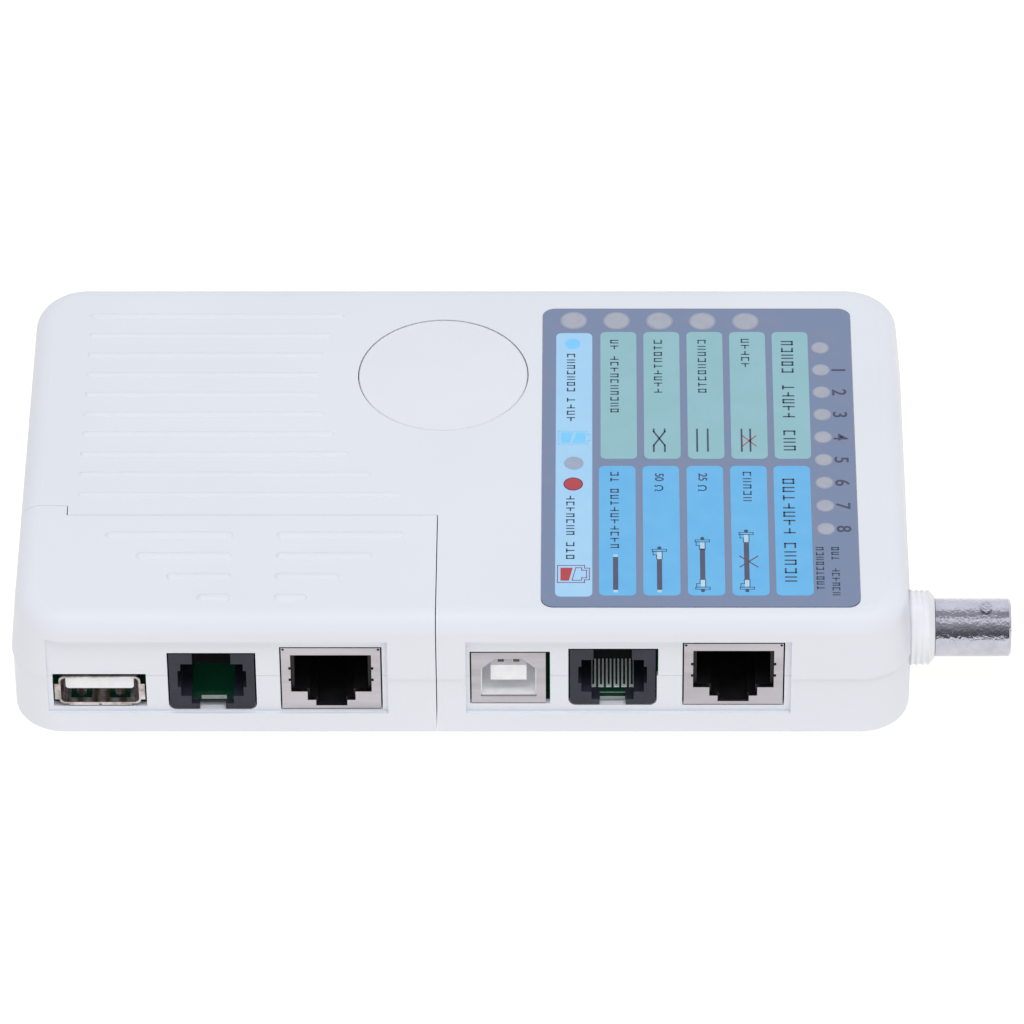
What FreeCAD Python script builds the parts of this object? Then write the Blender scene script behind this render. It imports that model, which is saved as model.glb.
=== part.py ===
import FreeCAD, Part
import math
import os
import re

import Sketcher
from FreeCAD import Rotation, Vector

# A hand-held tester for network, telephone, USB and coaxial cables. The main unit is
# L-shaped in plan. A remote unit, which tests the far end of an installed cable, docks in
# its front left corner. Both are two-shell plastic cases with a board and sockets inside.
# Millimetres. +X towards the coaxial socket, the other sockets face -Y, +Z up, and the
# origin is under the middle of the outline, on the surface that the tester rests on.

SIZES = {
    # the case, both units together
    "case_left": -81, "case_right": 65, "case_front": -42, "case_back": 42, "case_top": 25,
    "split_height": 12.1, "wall": 2, "plan_radius": 8.5, "top_radius": 3.2,
    "bottom_radius": 0.6, "lower_inset": 0.25, "side_lean": 1.24,
    "parting_gap": 0.06, "parting_depth": 1.3,
    # the seam between the units, with the remote unit's ear at its left end
    "seam_x": -12.05, "seam_y": -16.57, "ear_x": -72.3, "ear_y": -14.3,
    "seam_gap": 0.16, "seam_end_gap": 0.06,
    # the sunk panels round the sockets
    "panel_depth": 0.9, "panel_bottom": 4.4, "panel_top": 20.3,
    "main_panel_left": -7.3, "main_panel_right": 45.2,
    "remote_panel_left": -74.9, "remote_panel_right": -19.9, "cutout_gap": 0.25,
    # grip ribs
    "rib_back": 33.5, "rib_pitch": 5, "rib_left": -71.1, "rib_radius": 0.8, "rib_rise": 0.25,
    "rib_arc_x": 4.4, "rib_arc_y": 17.4, "rib_arc_radius": 36.3,
    "arrow_x": -41.6, "arrow_back": -21.5, "arrow_gap": 6.2, "arrow_half": 24.7,
    "arrow_step": 5.15, "arrow_radius": 1.3, "arrow_rise": 0.4,
    # the test button and its switch
    "button_x": -11.6, "button_y": 18.4, "button_radius": 14, "button_gap": 0.16,
    "button_crown": 0.15, "button_edge": 0.15, "button_skirt": 1.6, "button_thick": 2.2,
    "button_flange": 15.2,
    "collar_wall": 1.5, "collar_bottom": 19, "flange_height": 0.9, "flange_gap": 0.3,
    "stem_radius": 3, "switch_side": 12, "switch_height": 3.9, "plunger_radius": 3.4,
    "plunger_bottom": 8.9, "plunger_top": 11.2, "switch_well": 7.6, "plunger_gap": 0.08,
    # the printed overlay and its lamps
    "overlay_left": 4.9, "overlay_right": 56.2, "overlay_front": -38.8, "overlay_back": 35.3,
    "overlay_radius": 2.1, "overlay_sink": 0.3, "overlay_thick": 0.4,
    "mode_lamp_x": 10.1, "mode_lamp_pitch": 7.13, "mode_lamp_y": 32.4, "mode_window": 2.05,
    "pin_lamp_x": 51, "pin_lamp_y": 25.2, "pin_lamp_pitch": 5.62, "pin_window": 1.3,
    "battery_lamp_x": 10.1, "battery_lamp_y": -3.9, "battery_lamp_pitch": 5.2,
    "battery_window": 1.6,
    "lamp_radius": 1.5, "lamp_flange": 1.9, "lamp_bottom": 17.2, "lamp_flange_height": 1,
    "lamp_dome": 20.9, "lamp_lead": 0.5, "lamp_lead_pitch": 2.54,
    # boards
    "board_thick": 1.6, "main_board_top": 5.9, "main_board_front": -38.4,
    "main_board_left": -22.5, "main_board_right": 55.5, "main_board_back": 39.6,
    "board_tab_right": 62.5, "board_tab_back": -17,
    "remote_board_top": 4.95, "remote_board_front": -37.1, "remote_board_back": -19.8,
    "remote_board_step": -26.8, "remote_board_rear_right": -22.2,
    "board_clear": 0.4, "post_radius": 2,
    # parts on the boards
    "chip_left": 22, "chip_right": 42, "chip_front": 6, "chip_back": 13.5, "chip_lift": 0.4,
    "chip_height": 3, "chip_mark_radius": 0.9, "chip_pin_pitch": 1.905, "chip_pin_width": 0.6,
    "chip_pin_reach": 1.6, "chip_pin_height": 0.9,
    "resistor_long": 2, "resistor_wide": 1.24, "resistor_high": 0.55,
    # shielded eight-way sockets
    "net_width": 16, "net_height": 13.2, "net_depth": 15.2, "shield_thick": 0.3,
    "net_mouth": 13.04, "net_step_one": 7.75, "net_step_two": 5.05, "net_cavity": 11.9,
    "net_mouth_top": 11.68, "net_mouth_bottom": 3.67, "net_step_one_bottom": 1.82,
    "net_step_two_bottom": 0.62, "net_cavity_depth": 12.5, "net_set_back": 0.8,
    "wire_width": 0.45, "wire_thick": 0.3, "wire_pitch": 1.02, "nick_height": 0.55,
    "relief_radius": 0.22, "relief_inset": 0.32,
    "main_net_x": 35.9, "remote_net_x": -29.05,
    # black six-way sockets
    "phone_width": 13.8, "phone_height": 11.9, "phone_depth": 13.5, "phone_cavity": 10.1,
    "phone_cavity_bottom": 2.7, "phone_cavity_top": 9.7, "phone_cavity_depth": 11,
    "phone_side_notch": 0.5, "phone_notch_bottom": 4.6, "phone_notch_top": 8.2,
    "phone_top_notch": 6.2, "phone_top_notch_depth": 0.5, "phone_key": 6.8,
    "phone_key_bottom": 1.05, "phone_slot": 4.2, "phone_corner": 1, "phone_open_floor": 7,
    "phone_short_slot": 4.6,
    "twin_pitch": 1.25, "twin_leg": 0.27, "twin_gap": 0.35, "main_phone_x": 16.4,
    "remote_phone_x": -48.3,
    # square USB socket on the main unit
    "usb_b_x": -0.4, "usb_b_width": 12, "usb_b_height": 10.9, "usb_b_lift": 0.35,
    "usb_b_depth": 16, "usb_b_mouth": 9, "usb_b_mouth_height": 8.2, "usb_b_mouth_low": 1.35,
    "usb_b_chamfer": 2.1, "usb_b_tongue": 5.8, "usb_b_tongue_height": 3.2,
    "usb_b_tongue_low": 4.1, "usb_b_cavity_depth": 9.5, "side_slack": 0.45,
    # flat USB socket on the remote unit
    "usb_a_x": -66.5, "usb_a_width": 13.2, "usb_a_height": 5.9, "usb_a_low": 6,
    "usb_a_depth": 14, "usb_a_flare": 0.7, "usb_a_corner": 0.9,
    "usb_a_tongue": 11, "usb_a_tongue_thick": 2.3, "usb_a_tongue_set_back": 0.5,
    "usb_a_window": 3.4, "usb_a_spring": 0.8, "usb_a_back": 3.5, "usb_pin": 1,
    # coaxial socket
    "bnc_y": -29.5, "bnc_z": 12.1, "bnc_block_left": 50.5, "bnc_block_right": 61.8,
    "bnc_block_side": 13.6, "bnc_neck_radius": 5.9, "bnc_thread_rise": 0.25,
    "bnc_thread_pitch": 0.93, "bnc_collar_end": 68.6, "bnc_tip": 81, "bnc_radius": 4.75,
    "bnc_bore": 4.1, "bnc_bore_depth": 9.2, "bnc_lug_x": 76.9, "bnc_lug_radius": 1,
    "bnc_lug_span": 11, "bnc_lug_turn": 10, "bnc_dielectric": 2.35, "bnc_contact_radius": 1.07,
    "bnc_contact_bore": 0.69, "bnc_contact_tip": 78.6, "bnc_contact_bore_length": 5,
    # nine-volt battery, its door and its leads
    "battery_left": -76.5, "battery_y": 12.75, "battery_low": 2.3, "battery_body": 45.8,
    "battery_width": 26.5, "battery_height": 17.5, "battery_corner": 2.5,
    "stud_pitch": 12.7, "stud_length": 2.6, "stud_small": 2.85, "stud_large": 4,
    "snap_gap": 0.1, "snap_thick": 3, "snap_width": 26, "snap_height": 12.4,
    "door_right": -28.5, "door_front": -1.5, "door_back": 27, "door_gap": 0.2,
    "groove_left": -70, "groove_pitch": 2.4, "groove_width": 1.2, "groove_half": 6,
    "groove_depth": 0.5, "door_thick": 1.9, "door_lip": 0.95, "door_tongue": 0.8, "cell_wall": 1.2,
    "cell_wall_top": 11.5, "lead_radius": 0.6,
    # case screws and bosses
    "screw_radius": 1.2, "screw_head_radius": 2.3, "screw_head_height": 1.8,
    "screw_length": 9, "screw_seat": 6, "screw_hole": 1.45, "counterbore": 2.65,
    "boss_radius": 3.4, "upper_boss_radius": 2.8, "driver_slot": 0.5,
    # docking tongues
    "tongue_width": 8, "tongue_height": 1.8, "tongue_reach": 3.4, "tongue_low": 13.2,
    "tongue_gap": 0.3, "tongue_half_pitch": 16,
}

MAIN_SCREWS = ((-75, 37), (-75, -9), (59.2, 36.5), (59.2, -12.5))
REMOTE_SCREWS = ((-57.5, -22.4), (-17.9, -22.4))
MAIN_POSTS = ((-17, 35), (-17, -8), (50, 36), (25, 0), (48, -12))

os.makedirs("parts", exist_ok=True)
doc = FreeCAD.newDocument("cable_tester")

sheet = doc.addObject("Spreadsheet::Sheet", "sizes")
for row, (alias, value) in enumerate(SIZES.items(), start=1):
    sheet.set(f"A{row}", alias)
    sheet.set(f"B{row}", str(value))
    sheet.setAlias(f"B{row}", alias)
doc.recompute()

nodes = []


# ---- helpers: every size is an expression on the sheet ----

def linked(text):
    """The expression text with each alias turned into a reference to its cell."""
    return re.sub(r"[a-z]\w*", lambda word: f"sizes.{word[0]}" if word[0] in SIZES else word[0],
                  str(text))


def number(text):
    """The number that an expression gives, for work that no binding can do."""
    cell = doc.getObject("calculator") or doc.addObject("App::FeaturePython", "calculator")
    if "result" not in cell.PropertiesList:
        cell.addProperty("App::PropertyFloat", "result")
    cell.setExpression("result", linked(text))
    cell.recompute()
    return cell.result


def bind(thing, **expressions):
    """Binds properties to the sheet. A double underscore stands for a dot."""
    for prop, text in expressions.items():
        thing.setExpression(prop.replace("__", "."), linked(text))
    return thing


def place(thing, at=(0, 0, 0), rotation=None):
    """Puts a thing at a point given by three expressions."""
    if rotation is not None:
        thing.Placement = FreeCAD.Placement(Vector(0, 0, 0), rotation)
    return bind(thing, Placement__Base__x=at[0], Placement__Base__y=at[1],
                Placement__Base__z=at[2])


def block(name, x, y, z):
    """A box between low and high expressions along each axis."""
    box = doc.addObject("Part::Box", name)
    bind(box, Length=f"({x[1]}) - ({x[0]})", Width=f"({y[1]}) - ({y[0]})",
         Height=f"({z[1]}) - ({z[0]})")
    return place(box, (x[0], y[0], z[0]))


TURN = {"x": Rotation(Vector(0, 1, 0), 90), "y": Rotation(Vector(1, 0, 0), -90),
        "z": Rotation()}


def rod(name, radius, length, at, axis="z"):
    """A cylinder that starts at a point and runs along +X, +Y or +Z."""
    cylinder = doc.addObject("Part::Cylinder", name)
    bind(cylinder, Radius=radius, Height=length)
    return place(cylinder, at, TURN[axis])


def ball(name, radius, at):
    sphere = doc.addObject("Part::Sphere", name)
    bind(sphere, Radius=radius)
    return place(sphere, at)


def joined(name, *pieces):
    fusion = doc.addObject("Part::MultiFuse", name)
    fusion.Shapes = list(pieces)
    fusion.Refine = True
    return fusion


def group(name, *pieces):
    """Separate solids that make one node, such as a set of pins."""
    compound = doc.addObject("Part::Compound", name)
    compound.Links = list(pieces)
    return compound


def less(name, base, *tools):
    """A base with tools cut away."""
    cut = doc.addObject("Part::Cut", name)
    cut.Base = base
    cut.Tool = tools[0] if len(tools) == 1 else joined(f"{name}_tools", *tools)
    cut.Refine = True
    return cut


def within(name, base, region):
    common = doc.addObject("Part::Common", name)
    common.Base = base
    common.Tool = region
    common.Refine = True
    return common


def node(thing, label):
    """Marks a finished sub-part, which is written to a file under its label."""
    thing.Label = label
    nodes.append(thing)
    return thing


def origin_plane(body, role):
    return next(f for f in body.Origin.OriginFeatures if f.Role == role)


def profile(body, name, plane, points):
    """A closed sketch of straight lines whose corners are bound to the sheet."""
    sketch = body.newObject("Sketcher::SketchObject", name)
    sketch.AttachmentSupport = [(origin_plane(body, plane), "")]
    sketch.MapMode = "FlatFace"
    corners = [Vector(number(x), number(y), 0) for x, y in points]
    count = len(corners)
    for i, corner in enumerate(corners):
        sketch.addGeometry(Part.LineSegment(corner, corners[(i + 1) % count]), False)
    for i in range(count):
        sketch.addConstraint(Sketcher.Constraint("Coincident", i, 2, (i + 1) % count, 1))
    for i, (x, y) in enumerate(points):
        for kind, text, size in (("DistanceX", x, corners[i].x), ("DistanceY", y, corners[i].y)):
            index = sketch.addConstraint(Sketcher.Constraint(kind, -1, 1, i, 1, size))
            sketch.setExpression(f"Constraints[{index}]", linked(text))
    return sketch


def padded(name, plane, points, thickness, at=(0, 0, 0)):
    """A plate: a sketched outline padded both ways from its plane."""
    body = doc.addObject("PartDesign::Body", name)
    sketch = profile(body, f"{name}_outline", plane, points)
    pad = body.newObject("PartDesign::Pad", f"{name}_pad")
    pad.Profile = sketch
    pad.Midplane = True
    bind(pad, Length=thickness)
    return place(body, at)


def turned(name, points, at, lying=False):
    """A turned piece. Its profile gives radius and height, or length and radius if it lies."""
    body = doc.addObject("PartDesign::Body", name)
    sketch = profile(body, f"{name}_profile", "XZ_Plane", points)
    turn = body.newObject("PartDesign::Revolution", f"{name}_turn")
    turn.Profile = sketch
    turn.ReferenceAxis = (sketch, ["H_Axis" if lying else "V_Axis"])
    turn.Angle = 360
    return place(body, at)


def body_block(name, x, y, z):
    """A PartDesign body that starts as a box."""
    body = doc.addObject("PartDesign::Body", name)
    box = body.newObject("PartDesign::AdditiveBox", f"{name}_box")
    bind(box, Length=f"({x[1]}) - ({x[0]})", Width=f"({y[1]}) - ({y[0]})",
         Height=f"({z[1]}) - ({z[0]})")
    place(box, (x[0], y[0], z[0]))
    doc.recompute()
    return body


def rounded(body, radius, chosen):
    """Rounds those edges of the body's tip that chosen accepts."""
    tip = body.Tip
    names = [f"Edge{i}" for i, edge in enumerate(tip.Shape.Edges, start=1) if chosen(edge)]
    fillet = body.newObject("PartDesign::Fillet", f"{body.Name}_round_{len(body.Group)}")
    fillet.Base = (tip, names)
    bind(fillet, Radius=radius)
    doc.recompute()
    return body


def upright(edge):
    box = edge.BoundBox
    return box.ZLength > 0.2 and box.XLength < 1e-6 and box.YLength < 1e-6


def at_height(height):
    return lambda edge: (abs(edge.BoundBox.ZMin - height) < 1e-6
                         and abs(edge.BoundBox.ZMax - height) < 1e-6)


def standing(edge):
    """The case's four corner edges, which lean with its sides."""
    box = edge.BoundBox
    return box.ZLength > 0.2 and box.YLength < 1e-6


# ---- the outer form of the case, its cavity, and how the two units share them ----

def case_block(name, inset, bottom, top, top_radius=None, bottom_radius=None, lean="0"):
    """The case's outline, moved in by inset, between two heights, with its edges rounded.

    The left and right sides lean in by lean over that height."""
    left, right = f"case_left + {inset}", f"case_right - {inset}"
    body = padded(name, "XZ_Plane",
                  ((left, bottom), (right, bottom), (f"{right} - {lean}", top),
                   (f"{left} + {lean}", top)),
                  f"case_back - case_front - 2 * ({inset})",
                  ("0", "(case_front + case_back) / 2", "0"))
    doc.recompute()
    rounded(body, f"plan_radius - {inset}", standing)
    if top_radius:
        rounded(body, top_radius, at_height(number(top)))
    if bottom_radius:
        rounded(body, bottom_radius, at_height(number(bottom)))
    return body


def corner_zone(name, grow, grow_back):
    """The front left corner that the remote unit takes, with its edges moved out a little."""
    left = "case_left - 1"
    front = "case_front - 1"
    heights = ("-1", "case_top + 2")
    return joined(name,
                  block(f"{name}_field", (left, f"seam_x + {grow}"),
                        (front, f"seam_y + {grow_back}"), heights),
                  block(f"{name}_ear", (left, f"ear_x + {grow}"),
                        (front, f"ear_y + {grow_back}"), heights))


upper_form = case_block("upper_form", "0", "split_height", "case_top", "top_radius",
                        lean="side_lean")
lower_form = case_block("lower_form", "lower_inset", "0", "split_height", None, "bottom_radius")
inner_form = case_block("inner_form", "wall", "wall", "case_top - wall",
                        "top_radius - wall / 2")

remote_zone = corner_zone("remote_zone", "-seam_gap / 2", "-seam_end_gap / 2")
dock_zone = corner_zone("dock_zone", "seam_gap / 2", "seam_end_gap / 2")
dock_wall_zone = corner_zone("dock_wall_zone", "seam_gap / 2 + wall", "seam_end_gap / 2 + wall")
remote_inner_zone = block("remote_inner_zone",
                          ("case_left - 1", "seam_x - seam_gap / 2 - wall"),
                          ("case_front - 1", "seam_y - seam_end_gap / 2 - wall"),
                          ("-1", "case_top"))
main_cavity = less("main_cavity", inner_form, dock_wall_zone)
remote_cavity = within("remote_cavity", inner_form, remote_inner_zone)
parting_ring = less("parting_ring",
                    block("parting_slab", ("case_left - 1", "case_right + 1"),
                          ("case_front - 1", "case_back + 1"),
                          ("split_height - 1", "split_height + parting_gap")),
                    case_block("parting_core", "parting_depth", "split_height - 2",
                               "split_height + 1"))


# ---- openings that the shells leave for the sockets ----

def panel_sink(name, left, right):
    return block(name, (left, right), ("case_front - 1", "case_front + panel_depth"),
                 ("panel_bottom", "panel_top"))


def socket_cutout(name, centre, width, low, high, slack="0"):
    """A hole through the front wall, a little larger than the socket, with slack to its right."""
    return block(name, (f"{centre} - ({width}) / 2 - cutout_gap",
                        f"{centre} + ({width}) / 2 + cutout_gap + {slack}"),
                 ("case_front - 1", "case_front + wall + 1"),
                 (f"{low} - cutout_gap", f"{high} + cutout_gap"))


def phone_cutout(name, centre, floor):
    """The hole for a six-way socket: it follows the socket's rounded lower corners."""
    bottom = f"{floor} - cutout_gap"
    hole = body_block(name, (f"{centre} - phone_width / 2 - cutout_gap",
                             f"{centre} + phone_width / 2 + cutout_gap"),
                      ("case_front - 1", "case_front + wall + 1"),
                      (bottom, f"{floor} + phone_height + cutout_gap"))
    depth = number("wall") + 2
    return rounded(hole, "phone_corner + cutout_gap",
                   lambda edge: (abs(edge.BoundBox.ZMax - number(bottom)) < 1e-6
                                 and abs(edge.BoundBox.YLength - depth) < 1e-6))


main_front_cuts = [
    panel_sink("main_panel", "main_panel_left", "main_panel_right"),
    socket_cutout("usb_b_cutout", "usb_b_x", "usb_b_width", "main_board_top + usb_b_lift",
                  "main_board_top + usb_b_lift + usb_b_height", "side_slack"),
    phone_cutout("main_phone_cutout", "main_phone_x", "main_board_top"),
    block("main_phone_slack", ("main_phone_x", "main_phone_x + phone_width / 2 + side_slack"),
          ("case_front - 1", "case_front + wall + 1"),
          ("split_height", "main_board_top + phone_height + cutout_gap")),
    socket_cutout("main_net_cutout", "main_net_x", "net_width", "main_board_top",
                  "main_board_top + net_height"),
    rod("bnc_cutout", "bnc_neck_radius + bnc_thread_rise + 0.06", "wall + 3",
        ("case_right - wall - 1", "bnc_y", "bnc_z"), "x"),
]
remote_front_cuts = [
    panel_sink("remote_panel", "remote_panel_left", "remote_panel_right"),
    socket_cutout("usb_a_cutout", "usb_a_x", "usb_a_width + 2 * usb_a_flare",
                  "usb_a_low - usb_a_flare / 2", "usb_a_low + usb_a_height + usb_a_flare / 2"),
    phone_cutout("remote_phone_cutout", "remote_phone_x", "remote_board_top"),
    socket_cutout("remote_net_cutout", "remote_net_x", "net_width", "remote_board_top",
                  "remote_board_top + net_height"),
]


# ---- grip ribs: half-round bars with ball ends, sunk in the top ----

def grip_rib(name, left, right, y, radius, rise):
    height = f"case_top + {rise} - {radius}"
    return joined(name,
                  rod(f"{name}_bar", radius, f"({right}) - ({left}) - 2 * {radius}",
                      (f"({left}) + {radius}", y, height), "x"),
                  ball(f"{name}_left_end", radius, (f"({left}) + {radius}", y, height)),
                  ball(f"{name}_right_end", radius, (f"({right}) - {radius}", y, height)))


main_ribs = []
for i in range(10):
    rib_y = f"rib_back - {i} * rib_pitch"
    rib_right = f"rib_arc_x - sqrt(rib_arc_radius ^ 2 - ({rib_y} - rib_arc_y) ^ 2)"
    main_ribs.append(grip_rib(f"main_rib_{i + 1}", "rib_left", rib_right, rib_y,
                              "rib_radius", "rib_rise"))

arrow_ribs = []
for i in range(4):
    rib_y = f"arrow_back - {i} * rib_pitch"
    outer = f"(arrow_half - {i} * arrow_step)"
    arrow_ribs += [
        grip_rib(f"arrow_left_{i + 1}", f"arrow_x - {outer}", "arrow_x - arrow_gap / 2", rib_y,
                 "arrow_radius", "arrow_rise"),
        grip_rib(f"arrow_right_{i + 1}", "arrow_x + arrow_gap / 2", f"arrow_x + {outer}", rib_y,
                 "arrow_radius", "arrow_rise"),
    ]


# ---- screws with their bosses ----

def case_screw(name, x, y):
    """A self-tapping pan-head screw that enters from below, with a crosshead recess."""
    screw = turned(name, (("0", "screw_seat - screw_head_height"),
                          ("screw_head_radius - 0.3", "screw_seat - screw_head_height"),
                          ("screw_head_radius", "screw_seat - screw_head_height + 0.5"),
                          ("screw_head_radius", "screw_seat"),
                          ("screw_radius", "screw_seat"),
                          ("screw_radius", "screw_seat + screw_length - 1"),
                          ("0", "screw_seat + screw_length")), (x, y, "0"))
    slots = [block(f"{name}_slot_{way}", (f"{x} - {a}", f"{x} + {a}"),
                   (f"{y} - {b}", f"{y} + {b}"),
                   ("screw_seat - screw_head_height - 1", "screw_seat - screw_head_height + 1"))
             for way, a, b in (("along", "1.3", "driver_slot / 2"),
                               ("across", "driver_slot / 2", "1.3"))]
    return less(f"{name}_cut", screw, *slots)


def lower_bosses(prefix, places):
    return [rod(f"{prefix}_lower_boss_{i}", "boss_radius", "split_height - wall + 0.2",
                (x, y, "wall - 0.2"))
            for i, (x, y) in enumerate(places, start=1)]


def upper_bosses(prefix, places):
    return [rod(f"{prefix}_upper_boss_{i}", "upper_boss_radius",
                "case_top - wall - split_height + 0.2", (x, y, "split_height"))
            for i, (x, y) in enumerate(places, start=1)]


def screw_holes(prefix, places):
    """Counterbores and clearance holes, for the lower shell."""
    holes = []
    for i, (x, y) in enumerate(places, start=1):
        holes.append(rod(f"{prefix}_counterbore_{i}", "counterbore", "screw_seat + 1",
                         (x, y, "-1")))
        holes.append(rod(f"{prefix}_clearance_{i}", "screw_hole", "split_height",
                         (x, y, "screw_seat - 0.5")))
    return holes


def pilot_holes(prefix, places):
    """Blind pilots, for the upper shell."""
    return [rod(f"{prefix}_pilot_{i}", "screw_radius", "screw_length",
                (x, y, "screw_seat + 0.5")) for i, (x, y) in enumerate(places, start=1)]


# ---- docking tongues on the remote unit, and their slots ----

def dock_tongues(prefix, gap, reach):
    return [block(f"{prefix}_{side}",
                  (f"arrow_x + ({sign}) * tongue_half_pitch - tongue_width / 2 - {gap}",
                   f"arrow_x + ({sign}) * tongue_half_pitch + tongue_width / 2 + {gap}"),
                  ("seam_y - seam_end_gap / 2 - 0.5", f"seam_y + {reach}"),
                  (f"tongue_low - {gap}", f"tongue_low + tongue_height + {gap}"))
            for side, sign in (("left", "-1"), ("right", "1"))]


# ---- main unit: shells ----

button_at = ("button_x", "button_y")
collar = rod("button_collar", "button_radius + button_gap + collar_wall",
             "case_top - wall - collar_bottom + 0.2", (*button_at, "collar_bottom"))
button_hole = rod("button_hole", "button_radius + button_gap", "case_top",
                  (*button_at, "collar_bottom - 1"))
overlay_sink = body_block("overlay_sink", ("overlay_left - 0.1", "overlay_right + 0.1"),
                          ("overlay_front - 0.1", "overlay_back + 0.1"),
                          ("case_top - overlay_sink", "case_top + 2"))
rounded(overlay_sink, "overlay_radius", upright)


def lamp_places(kind):
    """Centres of one row of lamps, as expressions."""
    if kind == "mode":
        return [(f"mode_lamp_x + {i} * mode_lamp_pitch", "mode_lamp_y") for i in range(5)]
    if kind == "pin":
        return [("pin_lamp_x", f"pin_lamp_y - {i} * pin_lamp_pitch") for i in range(9)]
    return [("battery_lamp_x", f"battery_lamp_y - {i} * battery_lamp_pitch") for i in range(2)]


lamp_windows = [rod(f"{kind}_window_{i}", f"{kind}_window", "wall + 2",
                    (x, y, "case_top - wall - 1"))
                for kind in ("mode", "pin", "battery")
                for i, (x, y) in enumerate(lamp_places(kind), start=1)]

upper_skin = less("main_upper_skin", less("main_upper_outer", upper_form, dock_zone), main_cavity)
upper_solid = joined("main_upper_solid", upper_skin, collar, *main_ribs,
                     *upper_bosses("main", MAIN_SCREWS))
main_upper_shell = node(
    less("main_upper_cut", upper_solid, button_hole, overlay_sink, parting_ring, *lamp_windows,
         *main_front_cuts, *pilot_holes("main", MAIN_SCREWS),
         *dock_tongues("dock_slot", "tongue_gap", "wall + 1")), "main_upper_shell")

lower_skin = less("main_lower_skin", less("main_lower_outer", lower_form, dock_zone), main_cavity)
cell_walls = [block(f"cell_wall_{side}", ("case_left + wall - 0.5", "door_right"), y,
                    ("wall - 0.3", "cell_wall_top"))
              for side, y in (
                  ("front", ("door_front - door_tongue - 0.8",
                             "door_front - door_tongue + cell_wall - 0.8")),
                  ("back", ("door_back + door_tongue + 0.8 - cell_wall",
                            "door_back + door_tongue + 0.8")))]
posts = [rod(f"board_post_{i}", "post_radius", "main_board_top - board_thick - wall + 0.2",
             (x, y, "wall - 0.2")) for i, (x, y) in enumerate(MAIN_POSTS, start=1)]
door_opening = [
    block("door_opening_low", ("case_left - 1", "door_right + door_gap"),
          ("door_front - door_gap", "door_back + door_gap"), ("-1", "door_lip")),
    block("door_opening_high", ("case_left - 1", "door_right + door_gap"),
          ("door_front - door_tongue - door_gap", "door_back + door_tongue + door_gap"),
          ("door_lip - 0.01", "wall + 0.1")),
]
lower_solid = joined("main_lower_solid", lower_skin, *cell_walls, *posts,
                     *lower_bosses("main", MAIN_SCREWS))
main_lower_shell = node(
    less("main_lower_cut", lower_solid, *door_opening, *main_front_cuts,
         *screw_holes("main", MAIN_SCREWS)), "main_lower_shell")

door_low = within("door_low", lower_form,
                  block("door_low_region", ("case_left - 1", "door_right"),
                        ("door_front", "door_back"), ("-1", "door_lip")))
door_high = within("door_high", lower_form,
                   block("door_high_region", ("case_left - 1", "door_right"),
                         ("door_front - door_tongue", "door_back + door_tongue"),
                         ("door_lip", "door_thick")))
thumb_grooves = [block(f"thumb_groove_{i + 1}",
                       (f"groove_left + {i} * groove_pitch",
                        f"groove_left + {i} * groove_pitch + groove_width"),
                       ("battery_y - groove_half", "battery_y + groove_half"),
                       ("-1", "groove_depth")) for i in range(5)]
battery_door = node(less("battery_door_cut", joined("battery_door_solid", door_low, door_high),
                         *thumb_grooves), "battery_door")

overlay = body_block("label_overlay_body", ("overlay_left", "overlay_right"),
                     ("overlay_front", "overlay_back"),
                     ("case_top - overlay_sink", "case_top - overlay_sink + overlay_thick"))
node(rounded(overlay, "overlay_radius", upright), "label_overlay")


# ---- main unit: button, switch, board and lamps ----

button_top = "case_top + button_crown"
flange_top = "(collar_bottom - flange_gap)"
flange_bottom = "(collar_bottom - flange_gap - flange_height)"
test_button = node(turned("test_button_body", (
    ("0", "plunger_top"),
    ("stem_radius", "plunger_top"),
    ("stem_radius", "case_top - button_thick"),
    ("button_radius - button_skirt", "case_top - button_thick"),
    ("button_radius - button_skirt", flange_bottom),
    ("button_flange", flange_bottom),
    ("button_flange", flange_top),
    ("button_radius", flange_top),
    ("button_radius", "case_top - button_edge"),
    ("button_radius - button_edge", "case_top"),
    ("button_radius * 0.6", f"{button_top} - button_crown / 3"),
    ("button_radius * 0.25", f"{button_top}"),
    ("0", f"{button_top}")), (*button_at, "0")), "test_button")

plunger = node(rod("plunger_rod", "plunger_radius", "plunger_top - plunger_bottom",
                   (*button_at, "plunger_bottom")), "switch_plunger")

switch_well = rod("switch_well_hole", "plunger_radius + plunger_gap", "switch_height",
                  (*button_at, "switch_well"))
switch_block = block("switch_block",
                     ("button_x - switch_side / 2", "button_x + switch_side / 2"),
                     ("button_y - switch_side / 2", "button_y + switch_side / 2"),
                     ("main_board_top", "main_board_top + switch_height"))
node(less("switch_cut", switch_block, switch_well), "switch_housing")

board_bottom = "main_board_top - board_thick"
main_board_area = joined(
    "main_board_area",
    block("board_field", ("main_board_left", "main_board_right"),
          ("main_board_front", "main_board_back"), (board_bottom, "main_board_top")),
    block("board_tab", ("main_board_right - 1", "board_tab_right"),
          ("main_board_front", "board_tab_back"), (board_bottom, "main_board_top")))
node(within("main_board_cut", main_board_area, main_cavity), "main_circuit_board")

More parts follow.
